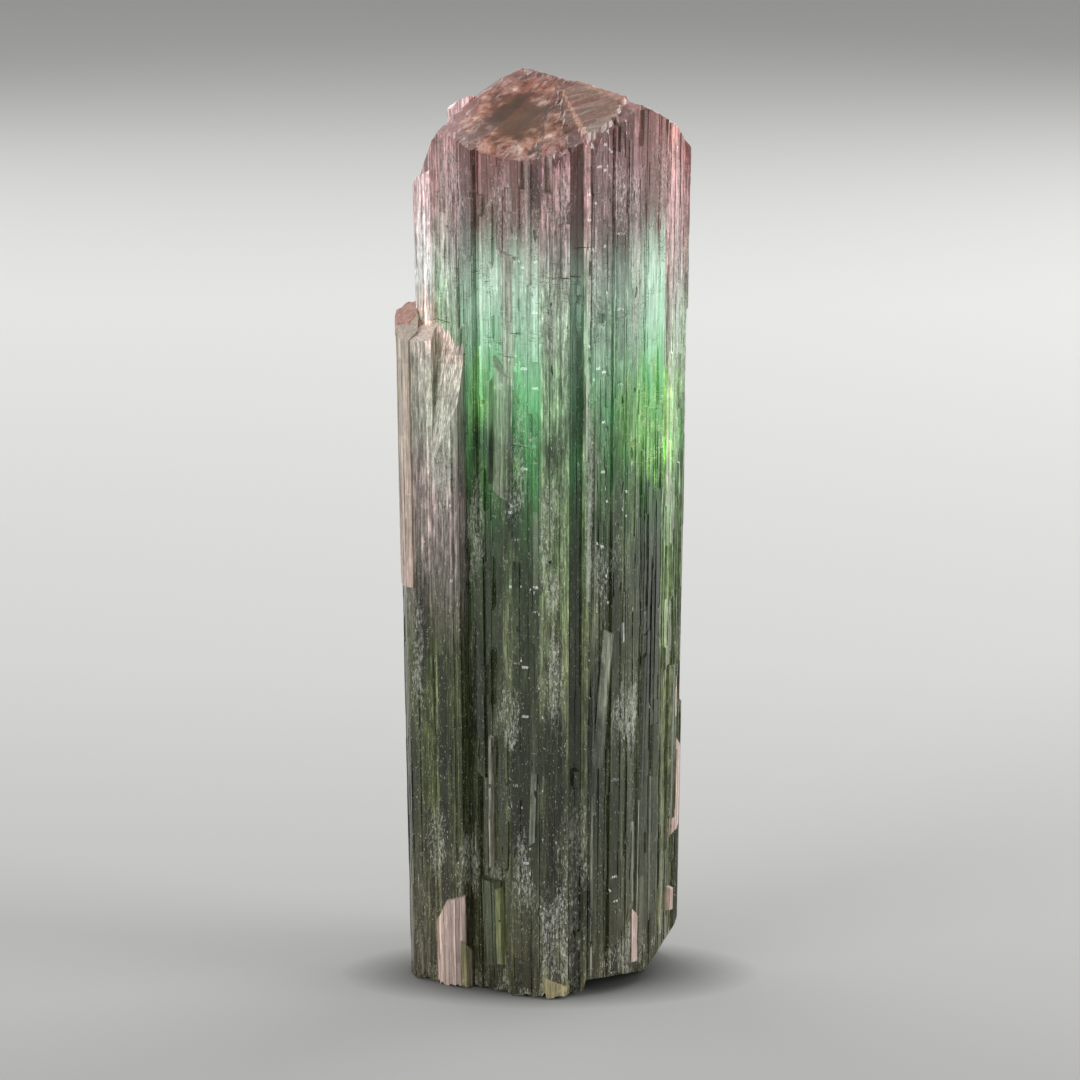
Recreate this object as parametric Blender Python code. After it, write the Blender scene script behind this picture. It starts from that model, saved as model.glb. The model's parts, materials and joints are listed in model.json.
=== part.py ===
"""A watermelon tourmaline crystal standing on its broken foot.

One natural crystal: a striated prism with a rounded three-sided section, capped by flat sloping faces,
with shorter crystals grown along its left side and small blades and flakes grown onto its faces.
Everything is one solid, because the growths share one body of mineral.

Sizes are in millimetres and are turned into metres by MM. +X is to the right, +Z is up, and the front
of the crystal, where its sharpest rounded edge is, faces -Y. The origin is on the foot's resting face.
"""

import math
import random

import bmesh
import bpy
from mathutils import Matrix, Vector

MM = 0.001

# Driving sizes of the crystal
HEIGHT = 91.2
SECTION_RADIUS = 13.0
SECTION_CORNERS = 3
CORNER_BULGE = 0.10
RIGHT_CORNER_ANGLE = 30.0
AXIS = Vector((1.0, 1.3, 0.0))
FOOT_SCALE = 0.905
FULL_SCALE_HEIGHT = 80.0
BELOW_FOOT = -4.0
ABOVE_TIP = 4.0

# The section's growth columns: the angle where each begins, in degrees round the axis, and how far
# its face stands proud of the rounded triangle. The first eleven cross the front from left to right.
COLUMNS = (
    (165.0, -0.15),
    (193.0, 0.15),
    (219.0, 0.05),
    (231.5, -0.25),
    (250.5, 0.05),
    (264.3, 0.50),
    (276.6, -0.60),
    (283.2, 0.05),
    (296.2, 0.30),
    (315.6, 0.05),
    (343.0, -0.10),
    (368.0, 0.20),
    (384.0, -0.25),
    (401.0, 0.10),
    (418.0, 0.30),
    (436.0, -0.20),
    (452.0, 0.20),
    (469.0, -0.15),
    (486.0, 0.25),
    (505.0, 0.00),
)
GROOVE_DEPTH = 0.30
GROOVE_HALF_WIDTH = 0.8
STRIA_DEPTH = 0.16
STRIA_HALF_WIDTH = 0.6
STRIA_SPACING = 3.5

# The tip's faces: the compass angle each one slopes towards, and its slope from level
TIP = Vector((-2.0, 4.3, HEIGHT))
TIP_FACES = ((241.5, 27.0), (24.0, 23.5), (178.0, 32.0), (95.0, 30.0))
# Bevelled shoulders: a point on each, and the way and slope that it faces
SHOULDERS = (
    ((-8.6, 0.0, 86.7), 170.0, 47.0),
    ((-11.4, 0.0, 82.9), 170.0, 65.0),
    ((13.9, 3.0, 84.5), 8.5, 50.0),
)

# Crystals grown along the left side: the near and far halves of a closed outline, the low end's
# height, the tip's point, and the tip's faces
SIDE_CRYSTALS = (
    (
        ((-14.65, -1.6), (-14.1, -3.9), (-12.8, -5.3), (-11.2, -5.3), (-10.8, -3.4)),
        ((-9.0, -1.0), (-9.0, 1.5), (-11.0, 2.6), (-13.4, 2.0), (-14.6, 0.3)),
        BELOW_FOOT,
        (-13.4, 1.5, 67.9),
        ((255.0, 26.0), (0.0, 18.0), (170.0, 55.0)),
    ),
    (
        ((-14.8, -1.3), (-14.65, -3.4), (-14.2, -4.6), (-13.5, -5.0), (-12.5, -4.0)),
        ((-12.5, 0.4), (-14.5, 0.5)),
        40.2,
        (-14.4, -0.5, 67.3),
        ((240.0, 36.0), (150.0, 30.0)),
    ),
    (
        ((-11.7, -4.4), (-11.3, -6.0), (-9.8, -7.1), (-8.6, -7.8), (-8.0, -7.3)),
        ((-6.8, -4.0), (-10.5, -2.0)),
        BELOW_FOOT,
        (-9.0, -6.6, 61.0),
        ((215.0, 52.0), (330.0, 34.0)),
    ),
    (
        ((-12.8, 0.6), (-12.65, -1.2), (-12.0, -2.4), (-11.1, -2.7), (-9.5, -1.0)),
        ((-9.5, 3.0), (-12.3, 2.6)),
        60.0,
        (-12.5, 0.0, 80.6),
        ((178.0, 66.0), (170.0, 30.0)),
    ),
    (
        ((-9.3, 2.2), (-9.0, 0.9), (-7.2, 0.4)),
        ((-6.2, 2.8), (-7.6, 3.6)),
        80.0,
        (-8.9, 1.8, 87.7),
        ((150.0, 24.0), (190.0, 50.0)),
    ),
    (
        ((-11.6, -5.6), (-11.4, -6.7), (-9.9, -7.8), (-8.4, -8.6), (-7.9, -8.3)),
        ((-7.6, -6.5), (-10.5, -5.0)),
        BELOW_FOOT,
        (-8.4, -8.4, 9.6),
        ((190.0, 26.0), (330.0, 30.0)),
    ),
    (
        ((-8.5, -8.9), (-7.7, -8.6), (-7.2, -7.9)),
        ((-7.0, -6.8), (-8.6, -6.8)),
        BELOW_FOOT,
        (-7.7, -8.6, 6.0),
        ((20.0, 40.0), (270.0, 20.0)),
    ),
)

# The worn plate left on the tip: its footprint, a point on its top, and the way its top faces
TIP_PLATE = (
    (1.6, -2.0), (3.6, -1.3), (8.3, -6.0), (7.4, -8.4), (7.2, -9.3),
    (6.3, -10.1), (4.5, -11.1), (3.4, -9.4), (2.2, -8.1),
)
TIP_PLATE_TOP = (4.5, -6.5, 88.3)
TIP_PLATE_FACING = (245.0, 27.5)
TIP_PLATE_LOW = 80.0

# Blades grown onto the front: where each is across the front, its low and high ends, its width, how
# far it stands proud, its lean from upright in degrees, and the slopes of its top and bottom ends
FRONT_BLADES = (
    (-3.9, 50.5, 63.3, 2.5, 0.75, 1.0, 38.0, -30.0),
    (5.9, 23.1, 36.9, 1.25, 0.55, 5.5, 12.0, 0.0),
    (-4.9, 2.7, 11.6, 2.85, 0.55, -2.0, 4.0, 0.0),
    (8.7, 8.7, 17.0, 1.2, 0.35, -1.0, 0.0, 0.0),
    (-0.85, 15.6, 23.0, 0.6, 0.50, 2.0, 20.0, 40.0),
    (-1.35, 71.5, 83.6, 0.6, 0.45, 0.0, 25.0, 0.0),
    (4.2, 40.0, 55.0, 0.8, 0.45, 0.6, 30.0, -30.0),
    (12.6, 50.0, 81.0, 1.0, 0.35, 0.0, 25.0, 30.0),
    (2.2, 36.5, 52.0, 0.9, 0.35, -0.5, 30.0, 20.0),
    (7.75, 35.4, 37.6, 0.6, 0.40, -4.0, -45.0, 40.0),
    (-6.1, 22.0, 46.0, 1.1, 0.30, 0.0, 35.0, -25.0),
    (9.9, 19.0, 33.5, 1.3, 0.35, 2.0, -25.0, 30.0),
)
# Pale flakes grown onto the foot and the right edge, given in the same way
FLAKES = (
    (8.9, 2.4, 7.7, 1.0, 0.70, 0.0, 45.0, 0.0),
    (13.2, 14.4, 23.0, 1.6, 0.60, 0.5, -35.0, 40.0),
    (13.2, 25.9, 30.3, 0.9, 0.40, 0.0, -20.0, 0.0),
    (12.8, 6.0, 8.4, 0.8, 0.45, 0.0, 0.0, 0.0),
)
# Pits and ledges broken out of the faces: where each is across the front, its low and high ends, its
# width, and its depth below the rounded triangle
FRONT_PITS = (
    (1.45, 83.2, 89.0, 3.9, -0.10),
    (-4.9, 11.6, 12.7, 2.5, 0.35),
    (5.75, 67.6, 68.6, 1.2, 0.45),
    (-3.4, 78.5, 81.0, 1.4, 0.40),
    (-5.6, 59.2, 59.8, 2.2, 0.55),
    (3.1, 69.8, 70.5, 1.6, 0.50),
    (9.6, 84.6, 88.0, 1.5, 0.55),
    (1.75, 84.2, 86.6, 0.5, 0.80),
    (7.35, 84.3, 88.4, 0.45, 0.80),
)
PIT_NARROWING = 0.7
PIT_OPENING = 1.5
PIT_ROOF_SLANT = 0.4
PIT_FLOOR_SLANT = 0.2
# A blade is sunk this far into the prism, its long edges are bevelled by a share of its width, and its
# two ends slant outward
BLADE_SUNK = 1.2
BLADE_BEVEL = 0.28
BLADE_TOP_SLANT = 0.35
BLADE_FOOT_SLANT = 0.25
# Blades and pits on the sides and back are strewn by rule, between these least and greatest sizes
BACK_FIRST_ANGLE = 352.0
BACK_LAST_ANGLE = 525.0
BACK_SEED = 7
BACK_BLADE_COUNT = 16
BACK_BLADE_LOW = (-1.0, 50.0)
BACK_BLADE_LENGTH = (12.0, 38.0)
BACK_BLADE_HIGHEST = 82.0
BACK_BLADE_WIDTH = (1.0, 3.0)
BACK_BLADE_PROUD = (0.35, 0.7)
BACK_TOP_SLOPE = (-40.0, 40.0)
BACK_FOOT_SLOPE = (-30.0, 30.0)
BACK_PIT_COUNT = 7
BACK_PIT_LOW = (6.0, 76.0)
BACK_PIT_HEIGHT = (0.8, 4.0)
BACK_PIT_WIDTH = (1.4, 3.4)
BACK_PIT_DEPTH = (0.4, 0.8)

# Where the foot is broken: a point on each break, and the way and slope that the break faces
FOOT_BREAKS = (
    ((11.7, -2.5, 2.7), 350.0, 121.0),
    ((13.0, -2.0, 5.2), 350.0, 97.0),
    ((1.0, 9.4, 0.3), 90.0, 156.0),
)
CUTTER_SIZE = 80.0
# The ledge broken out under the front right: its corner on the rim, the way that it faces, and its rise
FOOT_LEDGE_CORNER = (3.9, -10.6, 1.5)
FOOT_LEDGE_FACING = 304.0
FOOT_LEDGE_RISE = 17.0
FOOT_LEDGE_SIZE = 16.0

# The section's leftmost and rightmost angles, and how many times a search between them is halved
LEFT_ANGLE = 172.0
RIGHT_ANGLE = 368.0
HALVINGS = 40
# Half the step in degrees between the two points that give the way along the section, and how near a
# cutting plane a point counts as lying on it
CHORD_STEP = 0.5
CUT_TOLERANCE = 1e-5

CRYSTAL_COLOR = (0.10, 0.20, 0.09, 1.0)
CRYSTAL_ROUGHNESS = 0.18
CRYSTAL_IOR = 1.63
CRYSTAL_TRANSMISSION = 0.6


def clear_scene():
    for old in list(bpy.data.objects):
        bpy.data.objects.remove(old, do_unlink=True)


def new_collection(name):
    made = bpy.data.collections.new(name)
    bpy.context.scene.collection.children.link(made)
    return made


def facing(compass, slope):
    """The outward unit normal of a face that slopes down towards a compass angle."""
    turn = math.radians(compass)
    lean = math.radians(slope)
    return Vector((math.sin(lean) * math.cos(turn), math.sin(lean) * math.sin(turn), math.cos(lean)))


def taper(height):
    """The section's scale at a height: the crystal narrows evenly towards its foot."""
    return FOOT_SCALE + (1.0 - FOOT_SCALE) * height / FULL_SCALE_HEIGHT


def tapered(x, y, z):
    scale = taper(z)
    return Vector((AXIS.x + (x - AXIS.x) * scale, AXIS.y + (y - AXIS.y) * scale, z))


def section_radius(angle):
    """The rounded triangle, with a corner at the front (270 degrees), the right and the left."""
    from_corner = SECTION_CORNERS * math.radians(angle - RIGHT_CORNER_ANGLE)
    return SECTION_RADIUS * (1.0 + CORNER_BULGE * math.cos(from_corner))


def around(angle, proud=0.0):
    turn = math.radians(angle)
    reach = section_radius(angle) + proud
    return (AXIS.x + reach * math.cos(turn), AXIS.y + reach * math.sin(turn))


def angle_at(x, height):
    """The angle where the front of the section has this x at a height, found by halving."""
    low, high = LEFT_ANGLE, RIGHT_ANGLE
    wanted = AXIS.x + (x - AXIS.x) / taper(height)
    for _ in range(HALVINGS):
        middle = (low + high) / 2.0
        if around(middle)[0] < wanted:
            low = middle
        else:
            high = middle
    return (low + high) / 2.0


def section_outline():
    """The prism's outline: flat columns, the grooves between them, and striae along each column."""
    outline = []
    ends = [start for start, _ in COLUMNS[1:]] + [COLUMNS[0][0] + 360.0]
    for (start, proud), end, before in zip(COLUMNS, ends, COLUMNS[-1:] + COLUMNS[:-1]):
        outline.append(around(start, min(proud, before[1]) - GROOVE_DEPTH))
        outline.append(around(start + GROOVE_HALF_WIDTH, proud))
        count = max(1, round((end - start) / STRIA_SPACING))
        for step in range(1, count):
            middle = start + (end - start) * step / count
            outline.append(around(middle - STRIA_HALF_WIDTH, proud))
            outline.append(around(middle, proud - STRIA_DEPTH))
            outline.append(around(middle + STRIA_HALF_WIDTH, proud))
        outline.append(around(end - GROOVE_HALF_WIDTH, proud))
    return outline


def prism(name, outline, low, high, cuts, collection):
    """A tapering prism on a closed outline, with its ends cut off by planes of (point, normal)."""
    mesh = bpy.data.meshes.new(name)
    build = bmesh.new()
    foot = build.faces.new([build.verts.new((x, y, low)) for x, y in outline])
    top = bmesh.ops.extrude_face_region(build, geom=[foot])["geom"]
    raised = [part for part in top if isinstance(part, bmesh.types.BMVert)]
    bmesh.ops.translate(build, verts=raised, vec=(0.0, 0.0, high - low))
    for vertex in build.verts:
        vertex.co = tapered(*vertex.co)
    for point, normal in cuts:
        everything = build.verts[:] + build.edges[:] + build.faces[:]
        bmesh.ops.bisect_plane(
            build, geom=everything, dist=CUT_TOLERANCE, plane_co=point, plane_no=normal, clear_outer=True
        )
        rim = [edge for edge in build.edges if edge.is_boundary]
        bmesh.ops.holes_fill(build, edges=rim, sides=0)
    bmesh.ops.recalc_face_normals(build, faces=build.faces[:])
    bmesh.ops.scale(build, verts=build.verts[:], vec=(MM, MM, MM))
    build.to_mesh(mesh)
    build.free()
    made = bpy.data.objects.new(name, mesh)
    collection.objects.link(made)
    return made


def face_frame(angle):
    """The point on the rounded triangle at an angle, with the ways along it and out of it."""
    turn = math.radians(angle)
    ahead = Vector(around(angle + CHORD_STEP)) - Vector(around(angle - CHORD_STEP))
    along = Vector((ahead.x, ahead.y, 0.0)).normalized()
    outward = Vector((along.y, -along.x, 0.0))
    if outward.dot(Vector((math.cos(turn), math.sin(turn), 0.0))) < 0.0:
        outward.negate()
    return Vector((*around(angle), 0.0)), along, outward


def blade(name, angle, low, high, width, proud, lean, top_slope, foot_slope, collection):
    """A narrow crystal half sunk in the prism's face at an angle round it, with sloping ends."""
    place, along, outward = face_frame(angle)
    half = width / 2.0
    bevel = min(BLADE_BEVEL * width, proud)
    corners = ((-half, -BLADE_SUNK), (half, -BLADE_SUNK), (half, proud - bevel), (half - bevel, proud))
    corners += ((bevel - half, proud), (-half, proud - bevel))
    outline = [(place + along * across + outward * out).xy for across, out in corners]
    upright = Vector((0.0, 0.0, 1.0))
    slope = math.radians(top_slope)
    top = upright * math.cos(slope) + along * math.sin(slope) + outward * BLADE_TOP_SLANT
    slope = math.radians(foot_slope)
    foot = -upright * math.cos(slope) + along * math.sin(slope) + outward * BLADE_FOOT_SLANT
    cuts = (
        (tapered(place.x, place.y, high), top.normalized()),
        (tapered(place.x, place.y, low), foot.normalized()),
    )
    made = prism(name, outline, low - width, high + width, cuts, collection)
    pivot = tapered(place.x, place.y, (low + high) / 2.0) * MM
    swing = Matrix.Rotation(math.radians(lean), 4, -outward)
    made.data.transform(Matrix.Translation(pivot) @ swing @ Matrix.Translation(-pivot))


def pit(name, angle, low, high, width, depth, collection):
    """A cutter for a pit in the prism's face at an angle round it, narrowing to a flat floor."""
    place, along, outward = face_frame(angle)
    half = width / 2.0
    floor = half * PIT_NARROWING
    corners = ((-half, PIT_OPENING), (half, PIT_OPENING), (floor, -depth), (-floor, -depth))
    outline = [(place + along * across + outward * out).xy for across, out in corners]
    upright = Vector((0.0, 0.0, 1.0))
    cuts = (
        (tapered(place.x, place.y, high), (upright - outward * PIT_ROOF_SLANT).normalized()),
        (tapered(place.x, place.y, low), (-upright - outward * PIT_FLOOR_SLANT).normalized()),
    )
    prism(name, outline, low - width, high + width, cuts, collection)


def half_space(name, point, normal, collection):
    """A cutter: a large cube with one face through the point, lying on the outer side of it."""
    mesh = bpy.data.meshes.new(name)
    build = bmesh.new()
    size = CUTTER_SIZE * MM
    bmesh.ops.create_cube(build, size=size, matrix=Matrix.Translation((0.0, 0.0, size / 2.0)))
    build.to_mesh(mesh)
    build.free()
    made = bpy.data.objects.new(name, mesh)
    made.rotation_euler = normal.to_track_quat("Z", "Y").to_euler()
    made.location = Vector(point) * MM
    collection.objects.link(made)
    return made


def foot_ledge(collection):
    """A cutter for a ledge: a cube with one corner on the rim, its top sinking towards the middle."""
    mesh = bpy.data.meshes.new("foot_ledge")
    build = bmesh.new()
    half = FOOT_LEDGE_SIZE * MM / 2.0
    middle = Matrix.Translation((half, half, -half))
    inward = Matrix.Translation((0.0, -half, 0.0))
    bmesh.ops.create_cube(build, size=2.0 * half, matrix=inward @ middle)
    build.to_mesh(mesh)
    build.free()
    made = bpy.data.objects.new("foot_ledge", mesh)
    made.rotation_euler = (math.radians(-FOOT_LEDGE_RISE), 0.0, math.radians(FOOT_LEDGE_FACING + 90.0))
    made.location = Vector(FOOT_LEDGE_CORNER) * MM
    collection.objects.link(made)


def hide_as_tool(made):
    made.hide_render = True
    made.display_type = "WIRE"


def add_boolean(target, name, operation, collection):
    modifier = target.modifiers.new(name, "BOOLEAN")
    modifier.operation = operation
    modifier.operand_type = "COLLECTION"
    modifier.collection = collection
    modifier.solver = "EXACT"
    return modifier


def crystal_material():
    material = bpy.data.materials.new("tourmaline")
    material.use_nodes = True
    shader = material.node_tree.nodes["Principled BSDF"]
    shader.inputs["Base Color"].default_value = CRYSTAL_COLOR
    shader.inputs["Roughness"].default_value = CRYSTAL_ROUGHNESS
    shader.inputs["Metallic"].default_value = 0.0
    shader.inputs["IOR"].default_value = CRYSTAL_IOR
    shader.inputs["Transmission Weight"].default_value = CRYSTAL_TRANSMISSION
    return material


def make_main_prism(collection):
    cuts = [(TIP, facing(compass, slope)) for compass, slope in TIP_FACES]
    cuts += [(Vector(point), facing(compass, slope)) for point, compass, slope in SHOULDERS]
    return prism(
        "tourmaline_crystal", section_outline(), BELOW_FOOT, HEIGHT + ABOVE_TIP, cuts, collection
    )


def make_side_crystals(collection):
    for number, (near, far, low, tip, faces) in enumerate(SIDE_CRYSTALS, 1):
        cuts = [(Vector(tip), facing(compass, slope)) for compass, slope in faces]
        top = tip[2] + ABOVE_TIP
        prism(f"side_crystal_{number}", near + far, low, top, cuts, collection)


def make_tip_plate(collection):
    cuts = [(Vector(TIP_PLATE_TOP), facing(*TIP_PLATE_FACING))]
    prism("tip_plate", TIP_PLATE, TIP_PLATE_LOW, HEIGHT + ABOVE_TIP, cuts, collection)


def make_blades(collection):
    for number, (x, low, high, *rest) in enumerate(FRONT_BLADES, 1):
        angle = angle_at(x, (low + high) / 2.0)
        blade(f"front_blade_{number}", angle, low, high, *rest, collection)
    for number, (x, low, high, *rest) in enumerate(FLAKES, 1):
        angle = angle_at(x, (low + high) / 2.0)
        blade(f"flake_{number}", angle, low, high, *rest, collection)
    draw = random.Random(BACK_SEED)
    for number in range(1, BACK_BLADE_COUNT + 1):
        share = (number - 0.5) / BACK_BLADE_COUNT
        angle = BACK_FIRST_ANGLE + (BACK_LAST_ANGLE - BACK_FIRST_ANGLE) * share
        low = draw.uniform(*BACK_BLADE_LOW)
        high = min(low + draw.uniform(*BACK_BLADE_LENGTH), BACK_BLADE_HIGHEST)
        width = draw.uniform(*BACK_BLADE_WIDTH)
        proud = draw.uniform(*BACK_BLADE_PROUD)
        slopes = (draw.uniform(*BACK_TOP_SLOPE), draw.uniform(*BACK_FOOT_SLOPE))
        blade(f"back_blade_{number}", angle, low, high, width, proud, 0.0, *slopes, collection)


def make_pits(collection):
    for number, (x, low, high, *rest) in enumerate(FRONT_PITS, 1):
        pit(f"front_pit_{number}", angle_at(x, (low + high) / 2.0), low, high, *rest, collection)
    draw = random.Random(BACK_SEED)
    for number in range(1, BACK_PIT_COUNT + 1):
        share = (number - 0.5) / BACK_PIT_COUNT
        angle = BACK_FIRST_ANGLE + (BACK_LAST_ANGLE - BACK_FIRST_ANGLE) * share
        low = draw.uniform(*BACK_PIT_LOW)
        tall = draw.uniform(*BACK_PIT_HEIGHT)
        width = draw.uniform(*BACK_PIT_WIDTH)
        depth = draw.uniform(*BACK_PIT_DEPTH)
        pit(f"back_pit_{number}", angle, low, low + tall, width, depth, collection)


def make_breaks(collection):
    half_space("ground", (0.0, 0.0, 0.0), Vector((0.0, 0.0, -1.0)), collection)
    for number, (point, compass, slope) in enumerate(FOOT_BREAKS, 1):
        half_space(f"foot_break_{number}", point, facing(compass, slope), collection)
    foot_ledge(collection)
    make_pits(collection)


def main():
    clear_scene()
    part = new_collection("watermelon_tourmaline")
    growths = new_collection("growths")
    breaks = new_collection("breaks")
    crystal = make_main_prism(part)
    make_side_crystals(growths)
    make_tip_plate(growths)
    make_blades(growths)
    make_breaks(breaks)
    for tool in list(growths.objects) + list(breaks.objects):
        hide_as_tool(tool)
    add_boolean(crystal, "grow_together", "UNION", growths)
    add_boolean(crystal, "break_foot", "DIFFERENCE", breaks)
    crystal.data.materials.append(crystal_material())


main()
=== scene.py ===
"""Detailed Blender scene of a watermelon tourmaline crystal standing on its broken foot.

One mesh dresses the whole crystal. A striated prism is made of hundreds of narrow growth strips, a
Geometry Nodes tree raises and leans them, and the sloping tip faces, the side crystals, blades, flakes,
pits, chips and the broken foot are joined to it or cut out of it. The material is a see-through mineral
whose colour goes from brown and pink at the tip through green to dark olive at the foot.

Sizes are in millimetres and are turned into metres by MM. Angles round the crystal are in degrees, with
270 at the front.
"""

import json
import math
import random
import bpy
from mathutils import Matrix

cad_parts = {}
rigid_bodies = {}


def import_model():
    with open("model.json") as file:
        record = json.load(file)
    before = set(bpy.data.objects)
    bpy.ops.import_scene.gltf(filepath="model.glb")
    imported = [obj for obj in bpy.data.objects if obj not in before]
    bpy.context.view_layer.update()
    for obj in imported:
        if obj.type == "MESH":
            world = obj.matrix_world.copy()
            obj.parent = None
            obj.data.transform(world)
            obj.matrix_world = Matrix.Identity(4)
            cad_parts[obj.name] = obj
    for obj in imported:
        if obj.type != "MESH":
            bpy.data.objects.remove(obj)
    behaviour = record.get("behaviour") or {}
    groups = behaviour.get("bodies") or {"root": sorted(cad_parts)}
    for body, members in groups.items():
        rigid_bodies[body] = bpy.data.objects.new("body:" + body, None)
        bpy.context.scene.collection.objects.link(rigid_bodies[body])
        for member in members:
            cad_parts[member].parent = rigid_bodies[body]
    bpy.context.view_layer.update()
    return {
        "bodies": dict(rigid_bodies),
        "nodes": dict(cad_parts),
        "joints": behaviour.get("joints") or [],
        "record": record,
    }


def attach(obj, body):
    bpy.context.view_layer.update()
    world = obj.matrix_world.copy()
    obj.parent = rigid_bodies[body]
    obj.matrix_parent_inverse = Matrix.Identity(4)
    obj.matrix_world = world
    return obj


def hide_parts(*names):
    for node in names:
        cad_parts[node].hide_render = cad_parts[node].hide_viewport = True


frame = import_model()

from types import SimpleNamespace

import bmesh
import bpy
from mathutils import Matrix, Vector, noise

MM = 0.001

# Driving sizes of the crystal, as in the solid model
HEIGHT = 91.2
SECTION_RADIUS = 13.0
CORNER_BULGE = 0.10
CORNER_ANGLE = 30.0
AXIS = Vector((1.0, 1.3, 0.0))
FOOT_SCALE = 0.905
FULL_SCALE_HEIGHT = 80.0
BELOW_FOOT = -4.0
ABOVE_TIP = 4.0
UPRIGHT = Vector((0.0, 0.0, 1.0))
# The angles of the front's left and right edges, and how often the search between them is halved
FRONT_ANGLES = (172.0, 368.0)
HALVINGS = 40

# The camera: where it looks, how far off and how high it stands, and its lens
CAMERA_TARGET = Vector((-0.2, 0.0, 44.19))
CAMERA_DISTANCE = 600.0
CAMERA_ELEVATION = 10.0
CAMERA_LENS = 200.0

# The prism's growth columns: the angle where each begins and how far it stands proud
COLUMNS = (
    (165.0, -0.15),
    (193.0, 0.15),
    (219.0, 0.05),
    (231.5, -0.25),
    (250.5, 0.05),
    (264.3, 0.50),
    (276.6, -0.60),
    (283.2, 0.05),
    (296.2, 0.30),
    (315.6, 0.05),
    (343.0, -0.10),
    (368.0, 0.20),
    (384.0, -0.25),
    (401.0, 0.10),
    (418.0, 0.30),
    (436.0, -0.20),
    (452.0, 0.20),
    (469.0, -0.15),
    (486.0, 0.25),
    (505.0, 0.00),
)
GROOVE_DEPTH = 0.30
GROOVE_WIDTH = 0.16

# Growth strips: how wide the fine ones and the flat windows are, and the share that are windows
FINE_STRIP = (0.10, 0.30)
WINDOW_STRIP = (0.45, 1.10)
WINDOW_SHARE = 0.30
# How unevenly bundles of strips stand proud, and how often a new bundle begins
BUNDLE_RISE = 0.045
BUNDLE_CHANGE = 0.3
# Rows of points up each strip come in pairs, a short step apart, so that a strip's ledges are sharp
ROW_PITCH = 2.5
ROW_STEP = 0.25
# Each strip's rows are shifted by up to half this share of the pitch, and a lean reaches no wider than this
ROW_SHIFT = 0.8
WIDEST_LEAN = 0.35
# Strips rise and lean together over runs of this many rows, with waves of this many to the metre
RUN_ROWS = (3, 16)
WAVE_SCALE = 160.0
# A strip's tone changes after this many rows, and the steps between strips are darker by this much, as
# painted shade
TONE_ROWS = 6
RISER_SHADE = 0.5
# How much the strips differ in tone, and how much each one changes on its way up
STRIP_TONES = 0.8
STEP_TONES = 0.6
STRIP_SEED = 11
BODY_SEED = 3
# The stria tree's sizes in millimetres, except the slope, and what they are on each kind of prism
STRIA_SIZES = ("Terrace Height", "Stria Height", "Lean Slope", "Waviness")
STRIAE = {
    "body": (0.06, 0.08, 0.24, 0.16),
    "crystal": (0.025, 0.05, 0.12, 0.10),
    "blade": (0.015, 0.04, 0.08, 0.05),
    "pit": (0.03, 0.0, 0.3, 0.1),
}
# Points of a cut closer than this, in metres, are made one
CUT_MERGE = 1e-7

# The tip's faces: the compass angle each slopes towards, and its slope from level
TIP = Vector((-2.0, 4.3, HEIGHT))
TIP_FACES = ((241.5, 27.0), (24.0, 23.5), (178.0, 32.0), (95.0, 30.0))
SHOULDERS = (
    ((-8.6, 0.0, 86.7), 170.0, 47.0),
    ((-11.4, 0.0, 82.9), 170.0, 65.0),
    ((13.9, 3.0, 84.5), 8.5, 50.0),
)

# Crystals along the left side: finish, outline, low end, the tip's point, and the tip's faces
SIDE_CRYSTALS = {
    "side_prism": (
        "side_crystal",
        ((-14.65, -1.6), (-14.1, -3.9), (-12.8, -5.3), (-11.2, -5.3), (-10.8, -3.4),
         (-9.0, -1.0), (-9.0, 1.5), (-11.0, 2.6), (-13.4, 2.0), (-14.6, 0.3)),
        BELOW_FOOT, (-13.4, 1.5, 67.9), ((255.0, 26.0), (0.0, 18.0), (170.0, 55.0)),
    ),
    "rose_cap": (
        "rose",
        ((-14.5, -0.6), (-13.9, -2.4), (-12.4, -2.8), (-10.9, -1.6), (-10.6, 0.6),
         (-13.0, 1.8), (-14.4, 0.6)),
        64.0, (-13.4, 1.5, 68.1), ((255.0, 26.0), (0.0, 18.0), (170.0, 55.0)),
    ),
    "edge_prism": (
        "pink_edge",
        ((-14.8, -1.3), (-14.65, -3.4), (-14.2, -4.6), (-13.5, -5.0), (-12.5, -4.0),
         (-12.5, 0.4), (-14.5, 0.5)),
        40.2, (-14.4, -0.5, 67.3), ((240.0, 36.0), (150.0, 30.0)),
    ),
    "inner_prism": (
        "side_crystal",
        ((-11.7, -4.4), (-11.3, -6.0), (-9.8, -7.1), (-8.6, -7.8), (-8.0, -7.3),
         (-6.8, -4.0), (-10.5, -2.0)),
        BELOW_FOOT, (-9.1, -5.4, 62.5), ((215.0, 80.0),),
    ),
    "upper_strip": (
        "side_crystal",
        ((-12.8, 0.6), (-12.65, -1.2), (-12.0, -2.4), (-11.1, -2.7), (-9.5, -1.0),
         (-9.5, 3.0), (-12.3, 2.6)),
        60.0, (-12.5, 0.0, 80.6), ((178.0, 66.0), (170.0, 30.0)),
    ),
    "shoulder_prism": (
        "side_crystal",
        ((-9.3, 2.2), (-9.0, 0.9), (-7.2, 0.4), (-6.2, 2.8), (-7.6, 3.6)),
        80.0, (-8.9, 1.8, 87.7), ((150.0, 24.0), (190.0, 50.0)),
    ),
    "rose_edge": (
        "rose",
        ((-14.8, -1.3), (-14.7, -2.3), (-13.4, -2.8), (-12.6, -1.8), (-12.5, 0.4), (-14.5, 0.5)),
        65.0, (-14.4, -0.5, 67.5), ((240.0, 36.0), (150.0, 30.0)),
    ),
}
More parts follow.
